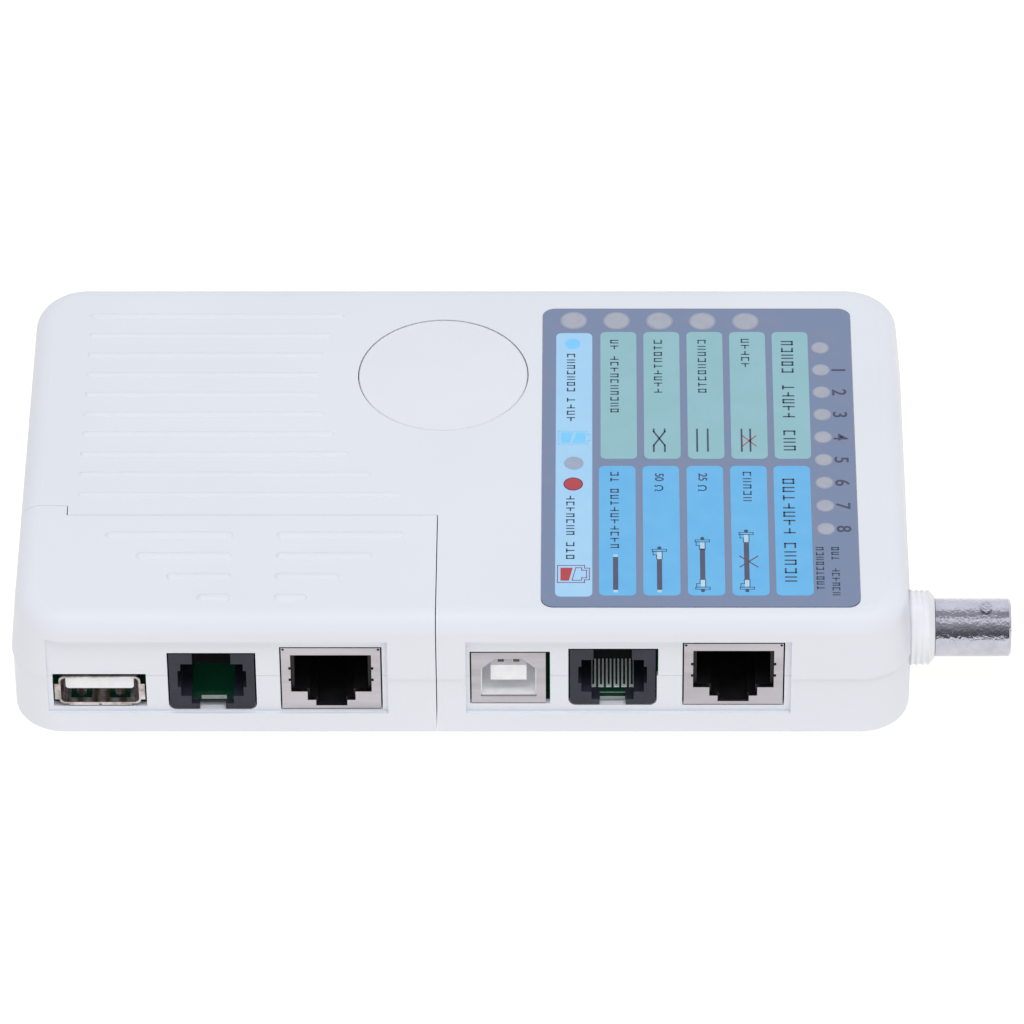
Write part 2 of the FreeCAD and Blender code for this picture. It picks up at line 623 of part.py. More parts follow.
all_leads = []
for kind, label in (("mode", "mode_lamps"), ("pin", "pin_lamps"), ("battery", "battery_lamps")):
    lamps = []
    for i, (x, y) in enumerate(lamp_places(kind), start=1):
        name = f"{kind}_lamp_{i}"
        lamps.append(joined(name,
                            rod(f"{name}_flange", "lamp_flange", "lamp_flange_height",
                                (x, y, "lamp_bottom")),
                            rod(f"{name}_barrel", "lamp_radius", "lamp_dome - lamp_bottom",
                                (x, y, "lamp_bottom")),
                            ball(f"{name}_dome", "lamp_radius", (x, y, "lamp_dome"))))
        for side, sign in (("a", "-1"), ("b", "1")):
            middle = f"{x} + ({sign}) * lamp_lead_pitch / 2"
            all_leads.append(block(f"{name}_lead_{side}",
                                   (f"{middle} - lamp_lead / 2", f"{middle} + lamp_lead / 2"),
                                   (f"{y} - lamp_lead / 2", f"{y} + lamp_lead / 2"),
                                   ("main_board_top", "lamp_bottom")))
    node(group(f"{label}_group", *lamps), label)
node(group("lamp_leads_group", *all_leads), "lamp_leads")

chip_body = block("chip_body", ("chip_left", "chip_right"), ("chip_front", "chip_back"),
                  ("main_board_top + chip_lift", "main_board_top + chip_height"))
node(less("chip_cut", chip_body,
          rod("chip_dimple", "chip_mark_radius", "chip_height",
              ("chip_left + 1.6", "(chip_front + chip_back) / 2",
               "main_board_top + chip_height - 0.4"))), "controller_chip")
chip_pins = []
for side, y in (("front", ("chip_front - chip_pin_reach", "chip_front")),
                ("back", ("chip_back", "chip_back + chip_pin_reach"))):
    for i in range(10):
        pin_left = f"chip_left + 1.2 + {i} * chip_pin_pitch"
        chip_pins.append(block(f"chip_pin_{side}_{i + 1}",
                               (pin_left, f"{pin_left} + chip_pin_width"), y,
                               ("main_board_top", "main_board_top + chip_pin_height")))
node(group("chip_pins_group", *chip_pins), "chip_pins")


def chip_resistors(prefix, label, xs, ys, top):
    """Small surface-mounted resistors in rows on a board."""
    pieces = [block(f"{prefix}_{i}_{j}", (f"{x} - resistor_long / 2", f"{x} + resistor_long / 2"),
                    (f"{y} - resistor_wide / 2", f"{y} + resistor_wide / 2"),
                    (top, f"{top} + resistor_high"))
              for i, x in enumerate(xs) for j, y in enumerate(ys)]
    node(group(f"{prefix}_group", *pieces), label)


chip_resistors("main_resistor", "lamp_resistors", (20, 23.5, 27, 30.5, 34, 37.5, 41, 44.5),
               (24, 21), "main_board_top")
chip_resistors("remote_resistor", "remote_resistors", (-50, -46.5, -43, -39.5, -36, -32.5),
               (-22.2,), "remote_board_top")


# ---- shielded eight-way socket: shield, insert and contacts ----

def stepped_mouth(name, centre, floor, y, widths, cavity_top):
    """The keyed opening of a socket: a wide cavity over narrower steps for the latch."""
    bottoms = ("net_mouth_bottom", "net_step_one_bottom", "net_step_two_bottom")
    return [block(f"{name}_{i}", (f"{centre} - ({width}) / 2", f"{centre} + ({width}) / 2"), y,
                  (f"{floor} + {low}", f"{floor} + {cavity_top}"))
            for i, (width, low) in enumerate(zip(widths, bottoms))]


def contact_wire(name, x, thickness, points):
    """A flat wire bent in the YZ plane. points is its centre line, from back to front."""
    half = number("wire_thick") / 2
    line = [(number(y), number(z)) for y, z in points]
    legs = []
    for i, (start, end) in enumerate(zip(line, line[1:])):
        run = math.hypot(end[0] - start[0], end[1] - start[1])
        angle = math.degrees(math.atan2(end[1] - start[1], end[0] - start[0]))
        leg = doc.addObject("Part::Box", f"{name}_leg_{i}")
        bind(leg, Length=thickness, Height="wire_thick")
        leg.Width = run + 2 * half
        leg.Placement = FreeCAD.Placement(
            Vector(number(f"{x} - ({thickness}) / 2"), start[0], start[1]),
            Rotation(Vector(1, 0, 0), angle), Vector(0, 0, 0))
        leg.Placement.Base = leg.Placement.Base + leg.Placement.Rotation.multVec(
            Vector(0, -half, -half))
        legs.append(leg)
    return joined(name, *legs)


def net_socket(prefix, centre, floor):
    face = "case_front + panel_depth"
    half = "net_width / 2"
    outer = block(f"{prefix}_net_outer", (f"{centre} - {half}", f"{centre} + {half}"),
                  (face, f"{face} + net_depth"), (floor, f"{floor} + net_height"))
    hollow = block(f"{prefix}_net_hollow",
                   (f"{centre} - {half} + shield_thick", f"{centre} + {half} - shield_thick"),
                   (f"{face} + shield_thick", f"{face} + net_depth - shield_thick"),
                   (f"{floor} - 1", f"{floor} + net_height - shield_thick"))
    mouth = stepped_mouth(f"{prefix}_net_mouth", centre, floor,
                          (f"{face} - 1", f"{face} + 1"),
                          ("net_mouth", "net_step_one", "net_step_two"), "net_mouth_top")
    nicks = [block(f"{prefix}_net_nick_{side}_{i}",
                   (f"{centre} + ({sign}) * net_mouth / 2 - 0.35",
                    f"{centre} + ({sign}) * net_mouth / 2 + 0.35"),
                   (f"{face} - 1", f"{face} + 1"),
                   (f"{floor} + {low}", f"{floor} + {low} + nick_height"))
             for side, sign in (("left", "-1"), ("right", "1"))
             for i, low in enumerate((6, 8.5))]
    reliefs = [rod(f"{prefix}_net_relief_{side}", "relief_radius", "2",
                   (f"{centre} + ({sign}) * ({half} - relief_inset)", f"{face} - 1",
                    f"{floor} + net_height - relief_inset"), "y")
               for side, sign in (("left", "-1"), ("right", "1"))]
    node(less(f"{prefix}_net_shield_cut", outer, hollow, *mouth, *nicks, *reliefs),
         f"{prefix}_rj45_shield")

    contacts = []
    for i in range(8):
        x = f"{centre} + ({i} - 3.5) * wire_pitch"
        contacts.append(contact_wire(f"{prefix}_net_wire_{i + 1}", x, "wire_width", (
            (f"{face} + net_depth - 1.2", f"{floor} + 0.2"),
            (f"{face} + net_depth - 1.2", f"{floor} + net_mouth_top + 0.35"),
            (f"{face} + 2.2", f"{floor} + net_mouth_top + 0.35"),
            (f"{face} + 2.2", f"{floor} + net_mouth_top - 0.5"),
            (f"{face} + 9", f"{floor} + net_mouth_top - 3.2"))))
    wires = node(group(f"{prefix}_net_wires", *contacts), f"{prefix}_rj45_contacts")

    body = block(f"{prefix}_net_body",
                 (f"{centre} - {half} + shield_thick + 0.05",
                  f"{centre} + {half} - shield_thick - 0.05"),
                 (f"{face} + net_set_back", f"{face} + net_depth - shield_thick - 0.05"),
                 (floor, f"{floor} + net_height - shield_thick - 0.05"))
    cavity = stepped_mouth(f"{prefix}_net_cavity", centre, floor,
                           (f"{face} - 1", f"{face} + net_cavity_depth"),
                           ("net_cavity", "net_step_one - 0.6", "net_step_two - 0.5"),
                           "net_mouth_top - 0.2")
    wire_room = block(f"{prefix}_net_wire_room",
                      (f"{centre} - 4.2", f"{centre} + 4.2"),
                      (f"{face} + 1.4", f"{face} + net_cavity_depth"),
                      (f"{floor} + net_mouth_top - 1", f"{floor} + net_mouth_top + 0.7"))
    node(less(f"{prefix}_net_insert_cut", body, *cavity, wire_room, wires),
         f"{prefix}_rj45_insert")


net_socket("main", "main_net_x", "main_board_top")
net_socket("remote", "remote_net_x", "remote_board_top")


# ---- black six-way socket: housing and twin-leg contacts ----

def phone_socket(prefix, centre, floor, path, slot_depth, open_floor):
    """A six-way socket. path is the springs' centre line, as distances from its face and floor."""
    face = "case_front + panel_depth"
    half = "phone_width / 2"
    body = body_block(f"{prefix}_phone_body", (f"{centre} - {half}", f"{centre} + {half}"),
                      (face, f"{face} + phone_depth"), (floor, f"{floor} + phone_height"))
    bottom = number(floor)
    front_to_back = number("phone_depth")
    rounded(body, "phone_corner",
            lambda edge: (abs(edge.BoundBox.ZMax - bottom) < 1e-6
                          and abs(edge.BoundBox.YLength - front_to_back) < 1e-6))

    def room(name, width, low, high, depth):
        return block(f"{prefix}_phone_{name}", (f"{centre} - ({width}) / 2",
                                                f"{centre} + ({width}) / 2"),
                     (f"{face} - 1", f"{face} + {depth}"),
                     (f"{floor} + {low}", f"{floor} + {high}"))

    rooms = [
        room("cavity", "phone_cavity", "phone_cavity_bottom", "phone_cavity_top",
             "phone_cavity_depth"),
        room("side_notches", "phone_cavity + 2 * phone_side_notch", "phone_notch_bottom",
             "phone_notch_top", "phone_cavity_depth"),
        room("top_notch", "phone_top_notch", "phone_cavity_top - 1", "phone_height + 1",
             "phone_top_notch_depth"),
        room("key", "phone_key", "phone_key_bottom", "phone_cavity_bottom + 1",
             "phone_cavity_depth"),
        room("slot", "phone_slot", "-1", "phone_key_bottom + 1", slot_depth),
    ]
    if open_floor:
        rooms.append(block(f"{prefix}_phone_open_floor",
                           (f"{centre} - phone_open_floor / 2", f"{centre} + phone_open_floor / 2"),
                           (f"{face} + 1", f"{face} + phone_cavity_depth"),
                           (f"{floor} - 1", f"{floor} + phone_key_bottom + 1")))
    points = [(f"{face} + {back}", f"{floor} + {up}") for back, up in path]
    end_y, end_z = points[-1]
    springs = []
    for i in range(6):
        middle = f"{centre} + ({i} - 2.5) * twin_pitch"
        legs = [contact_wire(f"{prefix}_phone_{i + 1}_{side}",
                             f"{middle} + ({sign}) * (twin_leg + twin_gap) / 2", "twin_leg",
                             points)
                for side, sign in (("left", "-1"), ("right", "1"))]
        bend = block(f"{prefix}_phone_bend_{i + 1}",
                     (f"{middle} - twin_gap / 2 - twin_leg", f"{middle} + twin_gap / 2 + twin_leg"),
                     (f"{end_y} - 0.2", f"{end_y} + 0.2"),
                     (f"{end_z} - 0.15", f"{end_z} + 0.15"))
        springs.append(joined(f"{prefix}_phone_spring_{i + 1}", *legs, bend))
    contacts = node(group(f"{prefix}_phone_springs", *springs), f"{prefix}_rj11_contacts")
    node(less(f"{prefix}_phone_cut", body, *rooms, contacts), f"{prefix}_rj11_housing")


low_springs = (("phone_cavity_depth + 1", "0.2"), ("phone_cavity_depth + 1", "3.3"),
               ("2.95", "1.3"))
high_springs = (("phone_cavity_depth + 1", "0.2"),
                ("phone_cavity_depth + 1", "phone_cavity_top + 0.5"),
                ("4.4", "phone_cavity_top + 0.5"), ("4.4", "phone_cavity_top - 0.2"),
                ("9", "phone_cavity_top - 2"))
phone_socket("main", "main_phone_x", "main_board_top", low_springs, "phone_short_slot",
             open_floor=False)
phone_socket("remote", "remote_phone_x", "remote_board_top", high_springs,
             "phone_cavity_depth", open_floor=True)


# ---- square USB socket ----

def chamfered_outline(width, height, chamfer, low):
    """The square plug's outline: two top corners cut off."""
    side = f"({width}) / 2"
    return ((f"-{side}", low), (side, low), (side, f"{low} + {height} - {chamfer}"),
            (f"{side} - {chamfer}", f"{low} + {height}"),
            (f"-{side} + {chamfer}", f"{low} + {height}"),
            (f"-{side}", f"{low} + {height} - {chamfer}"))


usb_b_floor = "main_board_top + usb_b_lift"
usb_face = "case_front + panel_depth"
usb_b_at = ("usb_b_x", usb_face, usb_b_floor)
usb_b_outer = block("usb_b_outer", ("usb_b_x - usb_b_width / 2", "usb_b_x + usb_b_width / 2"),
                    (usb_face, f"{usb_face} + usb_b_depth"),
                    (usb_b_floor, f"{usb_b_floor} + usb_b_height"))
usb_b_hollow = block("usb_b_hollow",
                     ("usb_b_x - usb_b_width / 2 + shield_thick",
                      "usb_b_x + usb_b_width / 2 - shield_thick"),
                     (f"{usb_face} + shield_thick", f"{usb_face} + usb_b_depth - shield_thick"),
                     (f"{usb_b_floor} - 1", f"{usb_b_floor} + usb_b_height - shield_thick"))
usb_b_mouth = padded("usb_b_mouth_plate", "XZ_Plane",
                     chamfered_outline("usb_b_mouth", "usb_b_mouth_height", "usb_b_chamfer",
                                       "usb_b_mouth_low"), "2", usb_b_at)
node(less("usb_b_shell_cut", usb_b_outer, usb_b_hollow, usb_b_mouth), "usb_b_shell")

usb_b_body = block("usb_b_body",
                   ("usb_b_x - usb_b_width / 2 + shield_thick + 0.05",
                    "usb_b_x + usb_b_width / 2 - shield_thick - 0.05"),
                   (f"{usb_face} + shield_thick + 0.05",
                    f"{usb_face} + usb_b_depth - shield_thick - 0.05"),
                   (usb_b_floor, f"{usb_b_floor} + usb_b_height - shield_thick - 0.05"))
usb_b_cavity = padded("usb_b_cavity_plate", "XZ_Plane",
                      chamfered_outline("usb_b_mouth - 0.4", "usb_b_mouth_height - 0.4",
                                        "usb_b_chamfer", "usb_b_mouth_low + 0.2"),
                      "2 * usb_b_cavity_depth", usb_b_at)
tongue_x = ("usb_b_x - usb_b_tongue / 2", "usb_b_x + usb_b_tongue / 2")
usb_b_tongue = block("usb_b_tongue", tongue_x,
                     (f"{usb_face} + 1", f"{usb_face} + usb_b_cavity_depth + 1"),
                     (f"{usb_b_floor} + usb_b_tongue_low",
                      f"{usb_b_floor} + usb_b_tongue_low + usb_b_tongue_height"))
usb_b_pins = []
for row, low in (("under", "usb_b_tongue_low"),
                 ("over", "usb_b_tongue_low + usb_b_tongue_height - 0.3")):
    for side, sign in (("left", "-1"), ("right", "1")):
        middle = f"usb_b_x + ({sign}) * 1.25"
        usb_b_pins.append(block(f"usb_b_pin_{row}_{side}",
                                (f"{middle} - usb_pin / 2", f"{middle} + usb_pin / 2"),
                                (f"{usb_face} + 1.8", f"{usb_face} + usb_b_depth - 1"),
                                (f"{usb_b_floor} + {low}", f"{usb_b_floor} + {low} + 0.3")))
usb_b_contacts = node(group("usb_b_pins_group", *usb_b_pins), "usb_b_contacts")
usb_b_lined = less("usb_b_lined", usb_b_body, usb_b_cavity)
node(less("usb_b_insert_cut", joined("usb_b_insert_solid", usb_b_lined, usb_b_tongue),
          usb_b_contacts), "usb_b_insert")


# ---- flat USB socket ----

usb_a_half = "usb_a_width / 2"


def usb_a_shape(name, grow, start, end):
    """The flat socket's box, moved out by grow, with its long edges rounded."""
    body = body_block(name, (f"usb_a_x - {usb_a_half} - ({grow})",
                             f"usb_a_x + {usb_a_half} + ({grow})"),
                      (start, end), (f"usb_a_low - ({grow})",
                                     f"usb_a_low + usb_a_height + ({grow})"))
    depth = number(f"({end}) - ({start})")
    return rounded(body, "usb_a_corner",
                   lambda edge: (abs(edge.BoundBox.YLength - depth) < 1e-6
                                 and edge.BoundBox.XLength < 1e-6))


usb_a_tube = usb_a_shape("usb_a_tube", "0", usb_face, f"{usb_face} + usb_a_depth")
usb_a_room = usb_a_shape("usb_a_room", "-shield_thick", f"{usb_face} - 1",
                         f"{usb_face} + usb_a_depth - shield_thick")
usb_a_lips = []
for side, sign in (("left", "-1"), ("right", "1")):
    edge_x = f"usb_a_x + ({sign}) * {usb_a_half}"
    low_x = f"{edge_x} + ({sign}) * usb_a_flare"
    x_pair = (low_x, edge_x) if sign == "-1" else (edge_x, low_x)
    usb_a_lips.append(block(f"usb_a_lip_{side}", x_pair, (usb_face, f"{usb_face} + shield_thick"),
                            ("usb_a_low + 0.9", "usb_a_low + usb_a_height - 1.6")))
for side, x_pair in (("left", ("usb_a_x - 5", "usb_a_x - 0.2")),
                     ("right", ("usb_a_x + 0.2", "usb_a_x + 5"))):
    usb_a_lips.append(block(f"usb_a_under_lip_{side}", x_pair,
                            (usb_face, f"{usb_face} + shield_thick"),
                            ("usb_a_low - usb_a_flare / 2", "usb_a_low + shield_thick")))
usb_a_windows = [block(f"usb_a_window_{side}",
                       (f"usb_a_x + ({sign}) * 3.1 - usb_a_window / 2",
                        f"usb_a_x + ({sign}) * 3.1 + usb_a_window / 2"),
                       (f"{usb_face} + 1.1", f"{usb_face} + 9"),
                       ("usb_a_low - 1", "usb_a_low + 1"))
                 for side, sign in (("left", "-1"), ("right", "1"))]
usb_a_springs = []
for side, sign in (("left", "-1"), ("right", "1")):
    middle = f"usb_a_x + ({sign}) * 3.1"
    usb_a_springs.append(block(f"usb_a_spring_{side}",
                               (f"{middle} - usb_a_spring", f"{middle} + usb_a_spring"),
                               (f"{usb_face} + 1.8 + usb_a_spring", f"{usb_face} + 9.5"),
                               ("usb_a_low", "usb_a_low + shield_thick")))
    usb_a_springs.append(rod(f"usb_a_spring_end_{side}", "usb_a_spring", "shield_thick",
                             (middle, f"{usb_face} + 1.8 + usb_a_spring", "usb_a_low")))
usb_a_hollowed = less("usb_a_hollowed", usb_a_tube, usb_a_room, *usb_a_windows)
usb_a_legs = [block(f"usb_a_leg_{side}", x_pair, (f"{usb_face} + 4", f"{usb_face} + 6"),
                    ("remote_board_top", "usb_a_low + 1.2"))
              for side, x_pair in (
                  ("left", (f"usb_a_x - {usb_a_half}", f"usb_a_x - {usb_a_half} + shield_thick")),
                  ("right", (f"usb_a_x + {usb_a_half} - shield_thick",
                             f"usb_a_x + {usb_a_half}")))]
node(joined("usb_a_shell_solid", usb_a_hollowed, *usb_a_lips, *usb_a_springs, *usb_a_legs),
     "usb_a_shell")

tongue_top = "usb_a_low + usb_a_height - shield_thick - 0.35"
usb_a_tongue = body_block("usb_a_tongue_bar",
                          ("usb_a_x - usb_a_tongue / 2", "usb_a_x + usb_a_tongue / 2"),
                          (f"{usb_face} + usb_a_tongue_set_back",
                           f"{usb_face} + usb_a_depth - usb_a_back"),
                          (f"{tongue_top} - usb_a_tongue_thick", tongue_top))
rounded(usb_a_tongue, "0.55", lambda edge: (
    edge.BoundBox.XLength < 1e-6 and edge.BoundBox.ZLength < 1e-6
    and edge.BoundBox.ZMax < number(tongue_top) - 0.5))
usb_a_block = block("usb_a_block",
                    (f"usb_a_x - {usb_a_half} + shield_thick + 0.9",
                     f"usb_a_x + {usb_a_half} - shield_thick - 0.9"),
                    (f"{usb_face} + usb_a_depth - usb_a_back - 0.2",
                     f"{usb_face} + usb_a_depth - shield_thick - 0.05"),
                    ("usb_a_low + shield_thick + 0.05", tongue_top))
usb_a_pins = [block(f"usb_a_pin_{i + 1}",
                    (f"usb_a_x + ({offset}) - usb_pin / 2", f"usb_a_x + ({offset}) + usb_pin / 2"),
                    (f"{usb_face} + 1.6", f"{usb_face} + usb_a_depth - 1"),
                    (f"{tongue_top} - usb_a_tongue_thick",
                     f"{tongue_top} - usb_a_tongue_thick + 0.3"))
              for i, offset in enumerate((-3.5, -1, 1, 3.5))]
usb_a_contacts = node(group("usb_a_pins_group", *usb_a_pins), "usb_a_contacts")
node(less("usb_a_insert_cut", joined("usb_a_insert_solid", usb_a_tongue, usb_a_block),
          usb_a_contacts), "usb_a_insert")


# ---- coaxial socket: plastic body with a threaded neck, barrel, dielectric and contact ----

bnc_at = ("0", "bnc_y", "bnc_z")
neck_profile = [("bnc_block_right - 1", "bnc_radius - 0.6"),
                ("bnc_block_right - 1", "bnc_neck_radius")]
for i in range(5):
    root = f"case_right + 0.35 + {i - 2} * bnc_thread_pitch"
    neck_profile += [(root, "bnc_neck_radius"),
                     (f"{root} + bnc_thread_pitch / 2", "bnc_neck_radius + bnc_thread_rise")]
neck_profile += [("bnc_collar_end - 0.75", "bnc_neck_radius + 0.05"),
                 ("bnc_collar_end", "bnc_neck_radius - 0.75"),
                 ("bnc_collar_end", "bnc_radius - 0.6")]
bnc_neck = turned("bnc_neck", neck_profile, bnc_at, lying=True)
bnc_block = block("bnc_block", ("bnc_block_left", "bnc_block_right"),
                  ("bnc_y - bnc_block_side / 2", "bnc_y + bnc_block_side / 2"),
                  ("main_board_top", "bnc_z + 6.4"))
bnc_core = rod("bnc_core", "bnc_radius - 0.6", "bnc_collar_end - bnc_block_left",
               ("bnc_block_left + 3", "bnc_y", "bnc_z"), "x")
node(less("bnc_housing_cut", joined("bnc_housing_solid", bnc_block, bnc_neck), bnc_core),
     "bnc_housing")

bore_start = "bnc_tip - bnc_bore_depth"
barrel = turned("bnc_barrel_body", (
    ("bnc_block_left + 3", "0"), ("bnc_block_left + 3", "bnc_radius - 0.6"),
    ("bnc_collar_end", "bnc_radius - 0.6"), ("bnc_collar_end", "bnc_radius - 0.15"),
    ("bnc_collar_end + 0.15", "bnc_radius"), ("bnc_tip - 0.35", "bnc_radius"),
    ("bnc_tip", "bnc_radius - 0.3"), ("bnc_tip", "bnc_bore"),
    (bore_start, "bnc_bore"), (bore_start, "bnc_dielectric"),
    ("bnc_block_left + 5", "bnc_dielectric"), ("bnc_block_left + 5", "0")), bnc_at, lying=True)
lugs = []
for side, turn in (("top", "bnc_lug_turn"), ("bottom", "bnc_lug_turn + 180")):
    lug = rod(f"bnc_lug_{side}", "bnc_lug_radius", "bnc_lug_span / 2 - bnc_bore - 0.2", (0, 0, 0))
    lugs.append(place(lug, ("bnc_lug_x", f"bnc_y - (bnc_bore + 0.2) * sin({turn})",
                            f"bnc_z + (bnc_bore + 0.2) * cos({turn})"),
                      Rotation(Vector(1, 0, 0), number(turn))))
node(joined("bnc_barrel_solid", barrel, *lugs), "bnc_barrel")
node(turned("bnc_dielectric_body", (
    ("bnc_block_left + 5", "bnc_contact_radius"), ("bnc_block_left + 5", "bnc_dielectric"),
    ("bnc_contact_tip - 0.3", "bnc_dielectric"), ("bnc_contact_tip", "bnc_dielectric - 0.3"),
    ("bnc_contact_tip", "bnc_contact_radius")), bnc_at, lying=True), "bnc_dielectric")
node(turned("bnc_contact_body", (
    ("bnc_block_left + 5", "0"), ("bnc_block_left + 5", "bnc_contact_radius"),
    ("bnc_contact_tip", "bnc_contact_radius"), ("bnc_contact_tip", "bnc_contact_bore"),
    ("bnc_contact_tip - bnc_contact_bore_length", "bnc_contact_bore"),
    ("bnc_contact_tip - bnc_contact_bore_length", "0")), bnc_at, lying=True),
    "bnc_centre_contact")


# ---- battery, its snap connector and leads ----

battery_right = "battery_left + battery_body"
battery_side = "battery_width / 2"
battery = body_block("battery_body_block", ("battery_left", battery_right),
                     (f"battery_y - {battery_side}", f"battery_y + {battery_side}"),
                     ("battery_low", "battery_low + battery_height"))
node(rounded(battery, "battery_corner", lambda edge: (
    edge.BoundBox.XLength > 10)), "battery")
stud_z = "battery_low + battery_height / 2"
studs = [rod(f"battery_stud_{side}", radius, "stud_length",
             (battery_right, f"battery_y + ({sign}) * stud_pitch / 2", stud_z), "x")
         for side, sign, radius in (("plus", "-1", "stud_small"), ("minus", "1", "stud_large"))]
battery_studs = node(group("battery_studs_group", *studs), "battery_terminals")
snap_left = f"{battery_right} + snap_gap"
snap_block = body_block("snap_block", (snap_left, f"{snap_left} + snap_thick"),
                        ("battery_y - snap_width / 2", "battery_y + snap_width / 2"),
                        (f"{stud_z} - snap_height / 2", f"{stud_z} + snap_height / 2"))
rounded(snap_block, "3", lambda edge: (edge.BoundBox.XLength > 2
                                       and edge.BoundBox.YLength < 1e-6))
node(less("snap_cut", snap_block, battery_studs), "battery_snap")


def lead(label, points):
    """A wire lead: straight runs joined by arcs as large as the runs allow."""
    radius = number("lead_radius")
    corners = [Vector(*[number(part) for part in point]) for point in points]
    edges = []
    start = corners[0]
    for before, corner, after in zip(corners, corners[1:], corners[2:]):
        back = (before - corner).normalize()
        ahead = (after - corner).normalize()
        reach = 0.45 * min((before - corner).Length, (after - corner).Length)
        first = corner + back * reach
        last = corner + ahead * reach
        turn = math.pi - back.getAngle(ahead)
        bend = reach / math.tan(turn / 2)
        print(label, "bend radius", round(bend, 2))
        centre = corner + (back + ahead).normalize() * (bend / math.cos(turn / 2))
        middle = centre + (corner - centre).normalize() * bend
        edges.append(Part.LineSegment(start, first).toShape())
        edges.append(Part.Arc(first, middle, last).toShape())
        start = last
    edges.append(Part.LineSegment(start, corners[-1]).toShape())
    path = Part.Wire(edges)
    ring = Part.Wire(Part.makeCircle(radius, corners[0], corners[1] - corners[0]))
    tube = doc.addObject("Part::Feature", f"{label}_tube")
    tube.Shape = path.makePipeShell([ring], True, False)
    whole = math.pi * radius ** 2 * path.Length
    print(label, "length", round(path.Length, 1), "volume ratio",
          round(tube.Shape.Volume / whole, 4))
    return node(tube, label)


snap_right = f"{snap_left} + snap_thick"
for label, y, drop in (("battery_lead_red", "5.2", "-21.2"),
                       ("battery_lead_black", "20", "-18.4")):
    lead(label, ((snap_right, y, "6.7"), (f"{snap_right} + 1.9", y, "6.7"),
                 (f"{snap_right} + 3.6", f"{y} - 2.2", "9.2"),
                 (f"{drop} + 0.3", f"{y} - 5.4", "9.9"), (drop, f"{y} - 7.6", "8.6"),
                 (drop, f"{y} - 7.6", "main_board_top")))


# ---- remote unit: shells, board and screws ----

remote_upper_skin = less("remote_upper_skin",
                         within("remote_upper_outer", upper_form, remote_zone), remote_cavity)
remote_upper_solid = joined("remote_upper_solid", remote_upper_skin, *arrow_ribs,
                            *dock_tongues("dock_tongue", "0", "tongue_reach"),
                            *upper_bosses("remote", REMOTE_SCREWS))
node(less("remote_upper_cut", remote_upper_solid, parting_ring, *remote_front_cuts,
          *pilot_holes("remote", REMOTE_SCREWS)), "remote_upper_shell")

remote_lower_skin = less("remote_lower_skin",
                         within("remote_lower_outer", lower_form, remote_zone), remote_cavity)
remote_lower_solid = joined("remote_lower_solid", remote_lower_skin,
                            *lower_bosses("remote", REMOTE_SCREWS))
node(less("remote_lower_cut", remote_lower_solid, *remote_front_cuts,
          *screw_holes("remote", REMOTE_SCREWS)), "remote_lower_shell")

remote_board_levels = ("remote_board_top - board_thick", "remote_board_top")
remote_board_area = joined(
    "remote_board_area",
    block("remote_board_field", ("case_left", "seam_x"),
          ("remote_board_front", "remote_board_step"), remote_board_levels),
    less("remote_board_rear",
         block("remote_board_rear_field", ("case_left", "remote_board_rear_right"),
               ("remote_board_step - 1", "remote_board_back"), remote_board_levels),
         rod("remote_board_hole", "boss_radius + board_clear", "case_top",
             (*REMOTE_SCREWS[0], "0"))))
node(within("remote_board_cut", remote_board_area, remote_cavity), "remote_circuit_board")

node(group("main_screws_group",
           *[case_screw(f"main_screw_{i}", x, y)
             for i, (x, y) in enumerate(MAIN_SCREWS, start=1)]), "main_case_screws")
node(group("remote_screws_group",
           *[case_screw(f"remote_screw_{i}", x, y)
             for i, (x, y) in enumerate(REMOTE_SCREWS, start=1)]), "remote_case_screws")


# ---- check every object and write each sub-part ----

doc.recompute()
failed = [thing.Name for thing in doc.Objects
          if "Invalid" in thing.State or "Error" in thing.State]
for thing in nodes:
    if thing.Shape.isNull() or not thing.Shape.isValid():
        failed.append(thing.Label)
if failed:
    raise RuntimeError("failed: " + ", ".join(failed))

for thing in nodes:
    thing.Shape.exportStep(f"parts/{thing.Label}.step")
    print(f"{thing.Label}: {len(thing.Shape.Solids)} solids, {thing.Shape.Volume:.1f} mm3")
whole = Part.makeCompound([thing.Shape for thing in nodes]).BoundBox
print(f"{len(nodes)} nodes, X {whole.XMin:.2f} {whole.XMax:.2f}, "
      f"Y {whole.YMin:.2f} {whole.YMax:.2f}, Z {whole.ZMin:.2f} {whole.ZMax:.2f}")
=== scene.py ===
"""Looks of the network cable tester: finishes, printed label, socket details, light and camera."""

import math

